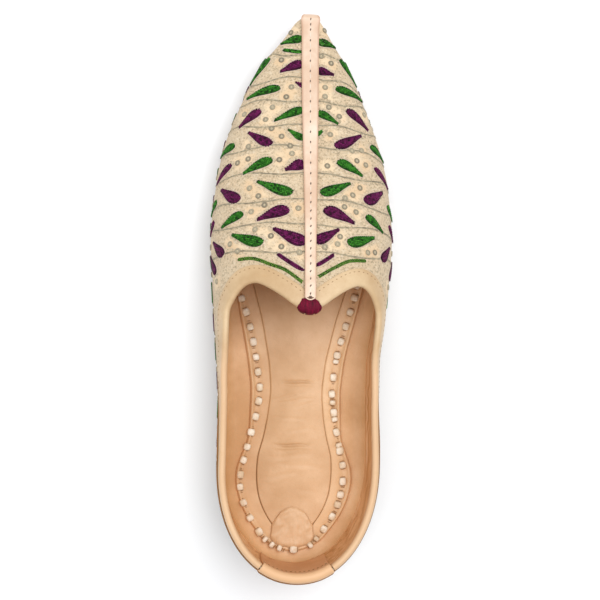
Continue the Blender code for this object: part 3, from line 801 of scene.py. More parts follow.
def own_coords(tree, stretch=(1.0, 1.0, 1.0), turn=(0.0, 0.0, 0.0)):
    coords = put(tree, "ShaderNodeTexCoord").outputs["Object"]
    return put(tree, "ShaderNodeMapping", {"Vector": coords, "Scale": stretch, "Rotation": turn}).outputs[0]


def height_of(tree, vector=None):
    """The Z of a vector, or of the place on the piece where none is given."""
    if vector is None:
        vector = put(tree, "ShaderNodeTexCoord").outputs["Object"]
    return put(tree, "ShaderNodeSeparateXYZ", {0: vector}).outputs["Z"]


def grain_noise(tree, coords, scale, detail=3.0, rough=0.55):
    sockets = {"Vector": coords, "Scale": scale, "Detail": detail, "Roughness": rough}
    return put(tree, "ShaderNodeTexNoise", sockets).outputs[0]


def number(tree, name):
    return put(tree, "ShaderNodeAttribute", attribute_name=name).outputs["Fac"]


def group(name, inputs, outputs):
    """An empty node group with named float inputs, each with its default, and named float outputs."""
    tree = bpy.data.node_groups.new(name, "ShaderNodeTree")
    for socket, value in inputs.items():
        made = tree.interface.new_socket(socket, in_out="INPUT", socket_type="NodeSocketFloat")
        made.default_value = value
    for socket in outputs:
        tree.interface.new_socket(socket, in_out="OUTPUT", socket_type="NodeSocketFloat")
    return tree, tree.nodes.new("NodeGroupInput").outputs, tree.nodes.new("NodeGroupOutput").inputs


def make_leather_grain():
    """Pores and pebbles of leather, with soft clouds of wear."""
    tree, given, out = group("leather_grain", {"Pebble": 900.0, "Cloud": 30.0}, ["Height", "Clouds", "Pores"])
    coords = own_coords(tree)
    sockets = {"Vector": coords, "Scale": given["Pebble"]}
    cells = put(tree, "ShaderNodeTexVoronoi", sockets, feature="SMOOTH_F1")
    fine = grain_noise(tree, coords, calc(tree, "MULTIPLY", given["Pebble"], 2.2), 4.0)
    height = calc(tree, "ADD", calc(tree, "MULTIPLY", cells.outputs["Distance"], 0.6), fine)
    clouds = grain_noise(tree, coords, given["Cloud"], 5.0, 0.6)
    pores = span(tree, fine, 0.32, 0.44, 1.0, 0.0)
    for socket, value in (("Height", height), ("Clouds", clouds), ("Pores", pores)):
        tree.links.new(value, out[socket])
    return tree


def make_speckle():
    """Fine specks, light and dark, as twisted metal thread shows them."""
    tree, given, out = group("thread_speckle", {"Scale": 1500.0}, ["Light", "Dark"])
    coords = own_coords(tree)
    fine = grain_noise(tree, coords, given["Scale"], 2.0, 0.7)
    tree.links.new(span(tree, fine, 0.54, 0.64), out["Light"])
    tree.links.new(span(tree, fine, 0.46, 0.36), out["Dark"])
    return tree


def finish(name, roughness=0.6, **sockets):
    """A new material: its name, its node tree and its shader, with plain sockets set on the shader."""
    material = bpy.data.materials.new(name)
    material.use_nodes = True
    shader = material.node_tree.nodes["Principled BSDF"]
    shader.inputs["Roughness"].default_value = roughness
    for socket, value in sockets.items():
        shader.inputs[socket.replace("_", " ")].default_value = value
    return material, material.node_tree, shader


def relief(tree, shader, height, depth, strength=1.0):
    """Feeds a height in metres of depth to the shader's normal."""
    bump = put(tree, "ShaderNodeBump", {"Height": height, "Distance": depth, "Strength": strength})
    tree.links.new(bump.outputs[0], shader.inputs["Normal"])


def leather(name, colour, dark, light, roughness, pebble=900.0, cloud=30.0, depth=0.00012, **sockets):
    """Leather of three near colours, with grain, pores and soft clouds."""
    material, tree, shader = finish(name, roughness, **sockets)
    grain = put(tree, "ShaderNodeGroup", node_tree=LEATHER_GRAIN)
    grain.inputs["Pebble"].default_value = pebble
    grain.inputs["Cloud"].default_value = cloud
    body = mix(tree, span(tree, grain.outputs["Clouds"], 0.35, 0.62), shade(dark), shade(colour))
    body = tint(tree, body, grain.outputs["Clouds"], 0.55, 0.8, light)
    pores = calc(tree, "MULTIPLY", grain.outputs["Pores"], 0.35)
    body = mix(tree, pores, body, shade(dark))
    paint(tree, shader, body)
    gloss = span(tree, grain.outputs["Clouds"], 0.3, 0.7, roughness + 0.08, roughness - 0.05)
    tree.links.new(gloss, shader.inputs["Roughness"])
    relief(tree, shader, grain.outputs["Height"], depth)
    return material, tree, shader, body


LEATHER_GRAIN = make_leather_grain()
SPECKLE = make_speckle()


def cloth_finish():
    """Peach satin in soft cells round the ring knots, between couched silver-grey threads."""
    material, tree, shader = finish("couched_peach_cloth", 0.66, Specular_IOR_Level=0.3)
    coords = own_coords(tree)
    line_gap, ring_gap = number(tree, "line_gap"), number(tree, "ring_gap")
    wander = grain_noise(tree, coords, 170.0, 3.0)
    wobble = span(tree, wander, 0.3, 0.7, -1.0, 1.0)
    near_line = span(tree, calc(tree, "ADD", line_gap, wobble), 2.0, 0.8)
    off_ring = span(tree, calc(tree, "ADD", ring_gap, wobble), 2.5, 5.0)
    couched = calc(tree, "MAXIMUM", near_line, calc(tree, "MULTIPLY", off_ring, 0.8))
    lanes = calc(tree, "ADD", line_gap, calc(tree, "MULTIPLY", wander, 0.6))
    rows = calc(tree, "SINE", calc(tree, "MULTIPLY", lanes, 2 * pi / 0.6))
    specks = put(tree, "ShaderNodeGroup", node_tree=SPECKLE)
    specks.inputs["Scale"].default_value = 950.0
    broad, small = grain_noise(tree, coords, 90.0), grain_noise(tree, coords, 300.0)
    satin = mix(tree, span(tree, broad, 0.38, 0.62), shade("DEC09A"), shade("E8CFAC"))
    satin = tint(tree, satin, small, 0.55, 0.7, "E9C9A6", 0.5)
    satin = mix(tree, calc(tree, "MULTIPLY", specks.outputs["Dark"], 0.3), satin, shade("9C8863"))
    silver = mix(tree, span(tree, rows, -0.8, 0.6), shade("C8B292"), shade("DCC7A6"))
    silver = mix(tree, calc(tree, "MULTIPLY", specks.outputs["Dark"], 0.65), silver, shade("80735F"))
    silver = mix(tree, calc(tree, "MULTIPLY", specks.outputs["Light"], 0.5), silver, shade("EFE4D0"))
    body = mix(tree, calc(tree, "MULTIPLY", couched, 0.85), satin, silver)
    paint(tree, shader, body)
    threads_height = calc(tree, "MULTIPLY", calc(tree, "MULTIPLY", rows, 0.4), couched)
    specks_height = calc(tree, "SUBTRACT", specks.outputs["Light"], specks.outputs["Dark"])
    fine = calc(tree, "MULTIPLY", specks_height, span(tree, couched, 0.0, 1.0, 0.15, 0.5))
    height = calc(tree, "ADD", threads_height, fine)
    relief(tree, shader, height, 0.0002)
    return material


def thread_finish(name, dark, colour, light, roughness=0.55, depth=0.0001, scale=2600.0, **sockets):
    """Twisted thread whose colour follows the tone of each stitch."""
    material, tree, shader = finish(name, roughness, Specular_IOR_Level=0.16, **sockets)
    tone = number(tree, "tone")
    body = mix(tree, span(tree, tone, 0.0, 0.5), shade(dark), shade(colour))
    body = tint(tree, body, tone, 0.5, 1.0, light)
    fine = grain_noise(tree, own_coords(tree), scale, 2.0)
    body = tint(tree, body, fine, 0.55, 0.4, dark, 0.45)
    paint(tree, shader, body)
    relief(tree, shader, fine, depth)
    return material


def band_finish():
    """Smooth cream leather, browner where it rolls over the collar, handled darker in soft patches, and
    darker low on its outer face, where the leather's darker edge is deepened with painted shade.
    """
    material, tree, shader, body = leather(
        "cream_band_leather", "D3B58C", "C19F74", "E0C69E", 0.5, 1100.0, 45.0, 0.00008, Coat_Weight=0.12,
        Coat_Roughness=0.35)
    rim = number(tree, "rim")
    body = mix(tree, calc(tree, "MULTIPLY", rim, 0.8), body, shade("DDB389"))
    wear = grain_noise(tree, own_coords(tree), 140.0, 4.0)
    body = mix(tree, calc(tree, "MULTIPLY", span(tree, wear, 0.6, 0.75), 0.4), body, shade("C79A63"))
    # Darker low on the outer face: partly the leather's darker edge, partly painted shade.
    body = tint(tree, body, height_of(tree), 0.043, 0.037, "A37C52", 0.55)
    paint(tree, shader, body)
    return material


def strap_finish():
    """Tan leather of the heel strap, lighter where it is rolled over the edge."""
    material, tree, shader, body = leather(
        "heel_strap_leather", "DCA878", "CD9767", "E8BA8B", 0.5, 1000.0, 40.0, 0.00009, Coat_Weight=0.1,
        Coat_Roughness=0.35)
    body = mix(tree, calc(tree, "MULTIPLY", number(tree, "rim"), 0.8), body, shade("E2B588"))
    paint(tree, shader, body)
    return material


def strip_finish():
    """Pinkish cream leather, polished along its middle, darker towards its cut edges with painted shade."""
    material, tree, shader, body = leather(
        "rose_strip_leather", "E8CDB4", "D9B79B", "F1DEC9", 0.36, 1200.0, 60.0, 0.00006, Coat_Weight=0.35,
        Coat_Roughness=0.22)
    # The edge mark darkens the strip towards both its cut edges with painted shade.
    edge = number(tree, "edge")
    body = tint(tree, body, edge, 0.70, 1.0, "BC8E70", 0.7)
    paint(tree, shader, body)
    return material


def lining_finish():
    """Soft tan lining with lighter and darker streaks that run down the wall, painted highlight and shade of
    its fine folds, and darker low down with painted shade.
    """
    material, tree, shader, body = leather(
        "tan_lining_leather", "E6B884", "D3A06A", "F0C898", 0.55, 800.0, 35.0, 0.0001)
    streaks = grain_noise(tree, own_coords(tree, (1.0, 0.05, 1.0)), 330.0, 4.0, 0.6)
    # Darker and lighter streaks: painted shade and highlight of fine folds along the wall; the same streaks
    # also give the bump below.
    body = tint(tree, body, streaks, 0.5, 0.62, "B87F48", 0.6)
    body = tint(tree, body, streaks, 0.46, 0.34, "F6D4AC", 0.65)
    # Darker low down: painted shade deep inside the shoe.
    body = tint(tree, body, height_of(tree), 0.024, 0.012, "BD8650", 0.2)
    paint(tree, shader, body)
    relief(tree, shader, streaks, 0.0003, 0.6)
    return material


def footbed_finish(name, colour, dark, light, roughness=0.5):
    """Vegetable-tanned leather with a fine grain, rubbed shiny in places, and darker along its seams and in
    its creases with painted shade.
    """
    material, tree, shader, body = leather(
        name, colour, dark, light, roughness, 1000.0, 28.0, 0.00009, Coat_Weight=0.08, Coat_Roughness=0.4)
    fibres = grain_noise(tree, own_coords(tree, (1.0, 0.35, 1.0)), 420.0, 5.0, 0.65)
    body = tint(tree, body, fibres, 0.56, 0.72, dark, 0.3)
    # The edge mark paints shade along the seams, deepest where they gape, and in the bottoms of the sock's
    # creases.
    seam = number(tree, "edge")
    body = tint(tree, body, seam, 0.965, 1.0, "85552F", 0.8)
    paint(tree, shader, body)
    return material


def sole_finish():
    """Sole leather: plain tread with scuffs, and a burnished edge where its layers show."""
    material, tree, shader, body = leather(
        "sole_leather", "A87447", "8F5F37", "BD8A5A", 0.62, 500.0, 22.0, 0.0002)
    facing = height_of(tree, put(tree, "ShaderNodeNewGeometry").outputs["True Normal"])
    edge = span(tree, calc(tree, "ABSOLUTE", facing), 0.75, 0.35)
    layers = calc(tree, "SINE", calc(tree, "MULTIPLY", height_of(tree), 2 * pi / 0.0015))
    burnished = mix(tree, span(tree, layers, 0.2, 0.9), shade("7A4B27"), shade("53301A"))
    fibres = grain_noise(tree, own_coords(tree, (1.0, 1.0, 0.2)), 900.0, 4.0)
    burnished = tint(tree, burnished, fibres, 0.5, 0.7, "9A6A3E", 0.5)
    scuffs = grain_noise(tree, own_coords(tree, (2.2, 0.5, 1.0), (0.0, 0.0, 0.5)), 220.0, 6.0, 0.7)
    tread = mix(tree, span(tree, scuffs, 0.55, 0.72, 0.0, 0.6), body, shade("6B4528"))
    tread = tint(tree, tread, scuffs, 0.42, 0.3, "CFA272", 0.4)
    paint(tree, shader, mix(tree, edge, tread, burnished))
    return material


def thong_finish():
    """White leather thong, slightly puffed."""
    return leather("white_thong", "F2E4CF", "DBC19E", "FFF5E4", 0.45, 1500.0, 200.0, 0.00008)[0]


def plain_thread(name, colour, dark, roughness=0.6):
    material, tree, shader = finish(name, roughness, Specular_IOR_Level=0.2)
    fine = grain_noise(tree, own_coords(tree), 3000.0, 2.0)
    paint(tree, shader, mix(tree, fine, shade(dark), shade(colour)))
    relief(tree, shader, fine, 0.00006)
    return material


def dress(piece, material, body="root"):
    """Gives a piece its finish and makes it ride on the shoe."""
    piece.data.materials.clear()
    piece.data.materials.append(material)
    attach(piece, body)
    return piece


def stitching(name, places, material, tones=None):
    """The stitches of a row, one at each place."""
    return dress(repeat(name, bead(name + "_model", *STITCHES[name]), places, tones), material)


# The upper's cloth and lining


def side_rows():
    front = [1.0, 0.998, 0.995, 0.99, 0.985, 0.98, NOSE, *even(0.97, THROAT_CREST + 0.004, 100)]
    lobes = [throat_along(depth) for depth in even(0.0, 1.0, 24)]
    back = even(THROAT_POINT, HEEL_ROUND, 62)[1:]
    heel = even(HEEL_ROUND, 0.0, 44)[1:]
    return [*front, *lobes, *back, *heel]


def ridge_rows():
    return [along for along in side_rows() if along >= THROAT_POINT]


def from_middle(centre):
    """Out of the shoe, seen from the line that runs along the middle of it."""
    y = min(max(centre.y, BACK_Y + HEEL_ROUND * UPPER_LENGTH), BACK_Y + 0.97 * UPPER_LENGTH)
    return centre - Vector((MIDDLE_X, y, 0.02))


def upper_sheet(name, offset, low_steps, top_steps, ridge_steps, relief_at=None):
    """The vamp and quarters at an offset from the outer face, from the lasted margin to the top edge."""
    rows, ridges = side_rows(), ridge_rows()
    sheets = []
    for side in (-1, 1):
        rises = []
        for along in rows:
            margin_share = edge_share(side, along, SOLE_INSET + MARGIN_WIDTH)
            margin = rise_across(along, margin_share, top=False)
            feather, top = feather_rise(side, along), top_rise(side, along)
            rises.append([margin, *even(feather, 0.0, low_steps), *even(0.0, top, top_steps)[1:]])
        starts = [rise_across(along, read(THROAT, "inner", min(throat_depth(along), 1.0)))
                  for along in ridges]

        def lay(along, rise):
            extra = relief_at(side, along, rise) if relief_at else 0.0
            return spot(side, along, rise, offset + extra)

        def on_ridge(row, column):
            return lay(ridges[row], blend(starts[row], 1.0, column / ridge_steps))

        sheets.append(grid(name, len(rows) - 1, low_steps + top_steps + 1,
                           lambda row, column: lay(rows[row], rises[row][column]), from_middle))
        sheets.append(grid(name, len(ridges) - 1, ridge_steps, on_ridge, from_middle))
    return weld(name, sheets)


def nose_plug():
    """The gathered cloth that closes the vamp under the very tip of the toe."""
    plug = bead("nose_plug", *NOSE_PLUG, 20, 12)
    x = (spot(-1, 0.985, -0.2) + spot(1, 0.985, -0.2)).x / 2
    centre = (x, BACK_Y + UPPER_LENGTH - NOSE_PLUG[0] / 2, sole_top(0.98) + 0.0018)
    plug.data.transform(Matrix.Translation(centre) @ Matrix.Rotation(pi / 2, 4, "Z"))
    return plug


def lining_folds(side, along, rise):
    """Soft folds that run down the lining, inwards only."""
    fold = wave(side * 3.0, along * 45, rise * 1.2)
    return -0.0005 * ease(fold * 1.5 + 0.2) * ease((rise + 0.45) / 0.3)


# The leaves


class LeafShape:
    """A leaf on the cloth: its length, its directions and where its points fall."""

    def __init__(self, leaf, face):
        self.face = face
        self.width = leaf.width
        self.tip = spot(leaf.side, leaf.tip_along, leaf.tip_rise)
        self.end = spot(leaf.side, leaf.end_along, leaf.end_rise)
        self.length = (self.end - self.tip).length
        self.ahead = (self.end - self.tip).normalized()
        middle = (self.tip + self.end) / 2
        self.normal = face.find_nearest(middle)[1]
        self.across = self.normal.cross(self.ahead).normalized()
        self.belly = 1 if self.across.y * self.ahead.y > 0 else -1

    def half(self, share):
        """The half width as a share of the widest: a thin tail at the tip, 0, and a round end, 1."""
        if share > LEAF_FULL:
            return sqrt(max(1 - ((share - LEAF_FULL) / (1 - LEAF_FULL)) ** 2, 0.0))
        tail = blend(0.9, 0.27, ease((self.width - 0.0019) / 0.0007))
        return sqrt(min(max(share / 0.05, 0.0), 1.0)) * blend(tail, 1.0, ease(share / LEAF_FULL))

    def lay(self, share, across, lift):
        """A point of the leaf, across from -1 to 1, lifted off the cloth, and the cloth's normal there."""
        flat = self.tip + self.ahead * self.length * share
        lean = 0.13 * self.width * self.half(share) + 0.015 * self.length * sin(pi * share)
        flat += self.across * (across * self.width / 2 + self.belly * lean)
        point, normal, _, _ = self.face.find_nearest(flat)
        return point + normal * lift, normal


def side_leaf(side, tip, tip_height, end, end_height, width):
    """A leaf on the shoe's side, from the heights of its two ends."""
    tip_rise, end_rise = rise_at_height(side, tip, tip_height), rise_at_height(side, end, end_height)
    return Leaf(side, tip, tip_rise, end, end_rise, width)


def quarter_leaves():
    """Pairs of leaves that carry the vamp's pattern along the sides and round the heel."""
    green, purple = [], []
    last = heel_along(STRAP_HALF_WIDTH) + 0.012
    for side in (-1, 1):
        place, pair = 0.548, 0
        while place > last + 0.01:
            step = 0.052 if place > HEEL_ROUND + 0.03 else 0.034
            rising = ease((place - 0.46) / 0.08)
            stem = blend(0.0150, 0.0215, rising)
            top = blend(0.0195, 0.036, rising)
            low = sole_top(place) + 0.0035
            tip = min(place + step * 0.30, 0.56)
            end = max(place - step * 0.38, last)
            for start, stop, width in ((stem + 0.003, top, 0.0048), (stem - 0.003, low, 0.0044)):
                leaf = side_leaf(side, tip, start, end, stop, width)
                (green if (pair + (width < 0.0045)) % 2 else purple).append(leaf)
            place -= step
            pair += 1
        for pair, place in enumerate(even(0.60, 0.90, 6)):
            low = sole_top(place) + 0.0035
            leaf = side_leaf(side, place - 0.018, low, place + 0.018, low + 0.0065, 0.0040)
            (purple if pair % 2 else green).append(leaf)
    return green, purple


def leaf_piece(name, leaves, face, material, random):
    """Padded leaves, each filled with lanes of chain stitches laid along it."""
    pads, places, tones = [], [], []
    rows, columns = 12, 6
    for leaf in leaves:
        shape = LeafShape(leaf, face)
        shares = [0.5 - 0.5 * cos(pi * step / rows) for step in range(rows + 1)]

        def place(row, column):
            across = (column / columns * 2 - 1) * 0.96
            lift = LEAF_HEIGHT * sqrt(1 - across * across) * min(1.0, 4 * shape.half(shares[row])) - 0.0001
            return shape.lay(shares[row], across * shape.half(shares[row]), lift)[0]

        pads.append(grid(name, rows, columns, place, lambda centre: shape.normal))
        lanes = max(2, round(shape.width / STITCH_WIDTH))
        for lane in range(lanes):
            across = ((lane + 0.5) / lanes * 2 - 1) * 0.98
            steps = max(2, round(shape.length / (STITCH_LENGTH * 0.86)))
            for step in range(steps):
                share = (step + 0.5 + 0.5 * (lane % 2)) / (steps + 0.5)
                half = shape.half(share)
                if half * shape.width / lanes < 0.00022:
                    continue
                lift = LEAF_HEIGHT * (0.45 + 0.75 * sqrt(1 - across * across))
                point, normal = shape.lay(share, across * half, lift)
                tilt = radians(17 if lane % 2 else -17) + random.uniform(-0.15, 0.15)
                ahead = shape.ahead * cos(tilt) + shape.across * sin(tilt)
                size = (random.uniform(0.9, 1.12), blend(0.55, 1.05, half), random.uniform(0.85, 1.15))
                places.append(set_in(point, ahead, normal, size))
                edge_dark = 0.3 if abs(across) > 0.75 or share < 0.12 else 0.0
                # A few stitches take a dark tone: painted shade of holes in the chain stitching.
                hole = random.random() < (0.34 if (lane + step) % 3 == 0 else 0.05)
                tones.append(random.uniform(0.05, 0.2) if hole else random.uniform(0.4, 1.0) - edge_dark)
    pad = weld(name + "_pads", pads, 1e-7)
    mark(pad, "tone", lambda point: 0.15)
    stitch = bead(name, STITCH_LENGTH, STITCH_WIDTH, STITCH_WIDTH * 0.62)
    leaf_fill = join(name, repeat(name + "_fill", stitch, places, tones), pad)
    return dress(smooth(leaf_fill, 80), material)


def leaf_outlines(leaves, face):
    """The points of a thread laid round each leaf."""
    paths = []
    for leaf in leaves:
        shape = LeafShape(leaf, face)
        shares = [0.5 - 0.5 * cos(pi * step / 16) for step in range(17)]
        grow = 1 + 0.0005 / shape.width
        edge = [(share, shape.half(share) * grow) for share in shares]
        loop = [*edge[:-1], *[(share, -half) for share, half in edge[:0:-1]]]
        paths.append([shape.lay(share * 1.03 - 0.012, across, THREAD * 0.6)[0] for share, across in loop])
    return paths


def sweep_paths(face, shift=0.0):
    """The points of the silver threads that sweep across the vamp, all moved towards the toe by a shift."""
    paths = []
    for number_of, sweep in enumerate(SWEEPS):
        for side in (-1, 1):
            path = []
            for rise in even(1.0, 0.03, 60):
                drop = ((1 - rise) / 0.97) ** 1.6
                sway = 0.0032 * sin(rise * 9 + number_of * 2.1 + side) * ease((1 - rise) * 4)
                along = min(blend(sweep.ridge, sweep.edge, drop) + sway + shift / UPPER_LENGTH, 0.97)
                point, normal, _, _ = face.find_nearest(spot(side, along, rise))
                path.append(point + normal * THREAD * 0.7)
            paths.append(path)
    return paths


def curve_through(points, steps):
    """A smooth path through a few points."""
    ends = [points[0] * 2 - points[1], *points, points[-1] * 2 - points[-2]]
    path = []
    for a, b, c, d in zip(ends, ends[1:], ends[2:], ends[3:]):
        for t in even(0.0, 1.0, steps)[:-1]:
            path.append(0.5 * (2 * b + (c - a) * t + (2 * a - 5 * b + 4 * c - d) * t * t
                               + (3 * b - a - 3 * c + d) * t ** 3))
    return [*path, points[-1]]


def throat_stitches(face, random):
    """Two lanes of chain stitches along each side of the throat."""
    places, tones = [], []
    for line in THROAT_LINES:
        path = curve_through([spot(*place) for place in line], 16)
        for place in along_path(path, 0.0009):
            point, normal, _, _ = face.find_nearest(place.translation)
            ahead = place.to_3x3().col[0].normalized()
            across = normal.cross(ahead).normalized()
            for lane in (-1, 1):
                way = (ahead + across * 0.45 * lane).normalized()
                at = point + across * 0.0004 * lane + normal * 0.00022
                places.append(set_in(at, way, normal, (1.0, random.uniform(0.9, 1.1), 1.0)))
                tones.append(random.uniform(0.3, 0.9) if random.random() < 0.85 else 0.1)
    return places, tones


def ring_spots(green, purple):
    """Where the ring knots of the vamp lie, and those between the leaves on the sides."""
    spots = [(-1, *place) for place in LEFT_RINGS] + [(1, *place) for place in RIGHT_RINGS]
    for leaf in (*green, *purple):
        if leaf.tip_rise < 0.3:
            spots.append((leaf.side, min(leaf.tip_along + 0.014, 0.96), leaf.tip_rise))
            spots.append((leaf.side, max(leaf.end_along - 0.016, 0.062), leaf.end_rise))
    return spots


def nearest_gap(points):
    """A measure of how far a place lies from the nearest of these points, in millimetres."""
    tree = KDTree(len(points))
    for at, point in enumerate(points):
        tree.insert(point, at)
    tree.balance()
    return lambda point: tree.find(point)[2] * 1000


def ring_places(face, spots):
    places = []
    for place in spots:
        point, normal, _, _ = face.find_nearest(spot(*place))
        ahead = Vector((0, 1, 0)) - normal * normal.y
        places.append(set_in(point + normal * RING_THREAD * 0.5, ahead.normalized(), normal))
    return places


def ring_piece(places, random):
    model = primitive(bpy.ops.mesh.primitive_torus_add, "ring", major_segments=12, minor_segments=5,
                      major_radius=RING, minor_radius=RING_THREAD)
    rings = repeat("ring_knots", model, places, [random.uniform(0.1, 0.6) for _ in places])
    eyes = repeat("ring_eyes", bead("eye", RING * 1.5, RING * 1.5, 0.0005), places, [0.8] * len(places))
    return join("ring_knots", rings, eyes)


# The band round the throat and collar, and the strap over the back


def top_line():
    """The upper's edge as (along, rise), from the throat's point round a lobe and back to the heel strap."""
    last = heel_along(STRAP_HALF_WIDTH + 1.5 * GAP)
    line = []
    for depth in even(1.0, 0.0, 26)[:-1]:
        along = throat_along(depth)
        line.append((along, rise_across(along, read(THROAT, "inner", depth))))
    line += [(along, top_rise(1, along)) for along in (throat_along(depth) for depth in even(0.0, 1.0, 26))]
    for along in [*even(THROAT_POINT, HEEL_ROUND, 40)[1:], *even(HEEL_ROUND, last, 30)[1:]]:
        line.append((along, top_rise(1, along)))
    return line


def round_edge(side, along, rise, outside, inside, away, turns):
    """Points over the upper's cut edge, from outside its outer face to inside its inner one."""
    middle = spot(side, along, rise, (outside - inside - WALL) / 2)
    out = outward(side, along, rise)
    reach_over = (WALL + outside + inside) / 2
    return [middle + (out * cos(turn) + away * sin(turn)) * reach_over for turn in even(0.0, pi, turns)]


def band_rows():
    """For each place of the top line: the places down the band's width and the way off the edge."""
    line = top_line()
    rows = []
    for i, (along, rise) in enumerate(line):
        before, after = line[max(i - 1, 0)], line[min(i + 1, len(line) - 1)]
        ahead = bare(1, *after) - bare(1, *before)
        heading = outward(1, along, rise).cross(ahead).normalized()
        if i == len(line) - 1:
            heading = (bare(1, along, rise - 0.05) - bare(1, along, rise)).normalized()
        away = -heading
        places = [(along, rise)]
        for _ in range(7):
            along, rise, heading = walk(along, rise, heading, BAND_WIDTH / 7)
            places.append((along, rise))
        rows.append((places, away))
    places, away = rows[0]
    rows.insert(0, ([(along, 1.0) for along, _ in places], away))
    return rows


def band_piece(material, rows):
    """The band: down the outside, rolled over the edge and a little way down the inside."""
    inside, turns = 3, 8
    sheets = []
    for side in (-1, 1):
        points = []
        for places, away in rows:
            off = Vector((side * away.x, away.y, away.z))
            row = [spot(side, *place, BAND_OUTSIDE) for place in places[:0:-1]]
            row += round_edge(side, *places[0], BAND_OUTSIDE, BAND_INSIDE, off, turns)
            row += [spot(side, *place, -WALL - BAND_INSIDE) for place in places[1:inside + 1]]
            points.append(row)
        sheet = sheet_of("band", points, from_middle)
        mark_all(sheet, "rim", (ease((0.44 - places[0][0]) / 0.09) * (column >= len(places) - 2)
                                for places, _ in rows for column in range(len(points[0]))))
        sheets.append(sheet)
    band = weld("band", sheets, 1e-5)
    thicken(band, BAND_OUTSIDE - 0.0002, 0.0002)
    return dress(smooth(band, 60), material)


def round_back(last, steps):
    """Places as (side, along) from the left side round the back to the right side."""
    return ([(-1, along) for along in even(last, 0.0, steps)[:-1]]
            + [(1, along) for along in even(0.0, last, steps)])


def strap_piece(material):
    """The strap over the back: up the outside, over the edge and down to the footbed."""
    last = heel_along(STRAP_HALF_WIDTH)
    face = STRAP_PROUD
    rows = []
    for side, along in round_back(last, 24):
        top = top_rise(side, along)
        feather = feather_rise(side, along)
        rises = [*even(feather * 0.8, 0.0, 8), *even(0.0, top, 14)[1:]]
        away = (bare(side, along, top) - bare(side, along, top - 0.01)).normalized()
        row = [spot(side, along, rise, face) for rise in rises[:-1]]
        row += round_edge(side, along, top, face, face, away, 12)
        for rise in rises[-2:3:-1]:
            fold = 0.0005 * sin(along * 60 * side + rise * 3) * ease((top - rise) * 3)
            row.append(spot(side, along, rise, -WALL - face - abs(fold)))
        rows.append(row)
    strap = sheet_of("heel_cover", rows, from_middle)
    thicken(strap, STRAP_THICKNESS, 0.00025)
    mark(strap, "rim", lambda point: ease((point.z - 0.045) / 0.006))
    return dress(smooth(strap, 60), material)


def collar_edge():
    """The raw edge of the collar's outer leather, seen as a dark line just outside the rolled rim, its own
    darker colour deepened with painted shade.
    """
    last = heel_along(STRAP_HALF_WIDTH)
    path = []
    for side, along in round_back(0.34, 90):
        rise = rise_at_height(side, along, collar_height(along) - DARK_EDGE_LINE_DROP)
        over_strap = 1 - ease((along - last + 0.002) / 0.002)
        face = blend(BAND_OUTSIDE, STRAP_PROUD, over_strap)
        path.append(spot(side, along, rise, face + blend(0.0002, -0.0004, ease((along - 0.24) / 0.09))))
    return path


def strap_stitches():
    """The stitches that hold the strap's turned-in flap to the lining."""
    last = heel_along(STRAP_HALF_WIDTH) - 0.003
    height = HEEL_COLLAR_HEIGHT - STRAP_STITCH_DROP
    inwards = WALL + STRAP_PROUD + 0.0001
    places = []
    for side in (-1, 1):
        path = [spot(side, along, rise_at_height(side, along, height), -inwards)
                for along in even(0.0, last, 40)]
        places += along_path(path, STRAP_STITCH_STEP)
    return places


def band_stitches(rows):
    """A row of short stitches near the band's lower edge, on both halves."""
    places = []
    for side in (-1, 1):
        path = [spot(side, *blend_places(row[5], row[6], 0.4), BAND_OUTSIDE) for row, _ in rows]
        places += along_path(path, BAND_STITCH_STEP)
    return places


def blend_places(first, second, share):
    return tuple(blend(a, b, share) for a, b in zip(first, second))


def off_shoe(point, ahead):
    """The way off the shoe at a point, square to the way ahead."""
    out = from_middle(point)
    return (out - ahead * out.dot(ahead)).normalized()


def downwards(_point, _ahead):
    return Vector((0, 0, -1))


def along_path(path, step, start=0.0, normal_at=off_shoe):
    """Places at even steps along a path of points, each with Z along its normal."""
    places = []
    left = start
    for a, b in zip(path, path[1:]):
        length = (b - a).length
        while left < length:
            point = a.lerp(b, left / length)
            ahead = (b - a).normalized()
            places.append(set_in(point, ahead, normal_at(point, ahead)))
            left += step
        left -= length
    return places


# The strip over the vamp and the knot on the throat


def strip_width(along):
    """The strip widens from the throat to the toe."""
    throat, front = STRIP_THROAT_WIDTH * SEEN_AT_THROAT, STRIP_FRONT_WIDTH * SEEN_AT_FRONT
    return blend(throat, front, ease((along - 0.53) / 0.38))


# The strip's half width near its folded end, by the distance from the fold
Tip = namedtuple("Tip", "distance half")
TIP = [
    Tip(0.0000, 0.0024),
    Tip(0.0003, 0.0032),
    Tip(0.0008, 0.0039),
    Tip(0.0018, 0.0044),
    Tip(0.0032, 0.0046),
    Tip(0.0050, 0.0044),
    Tip(0.0070, 0.0042),
    Tip(0.0105, 0.0040),
]


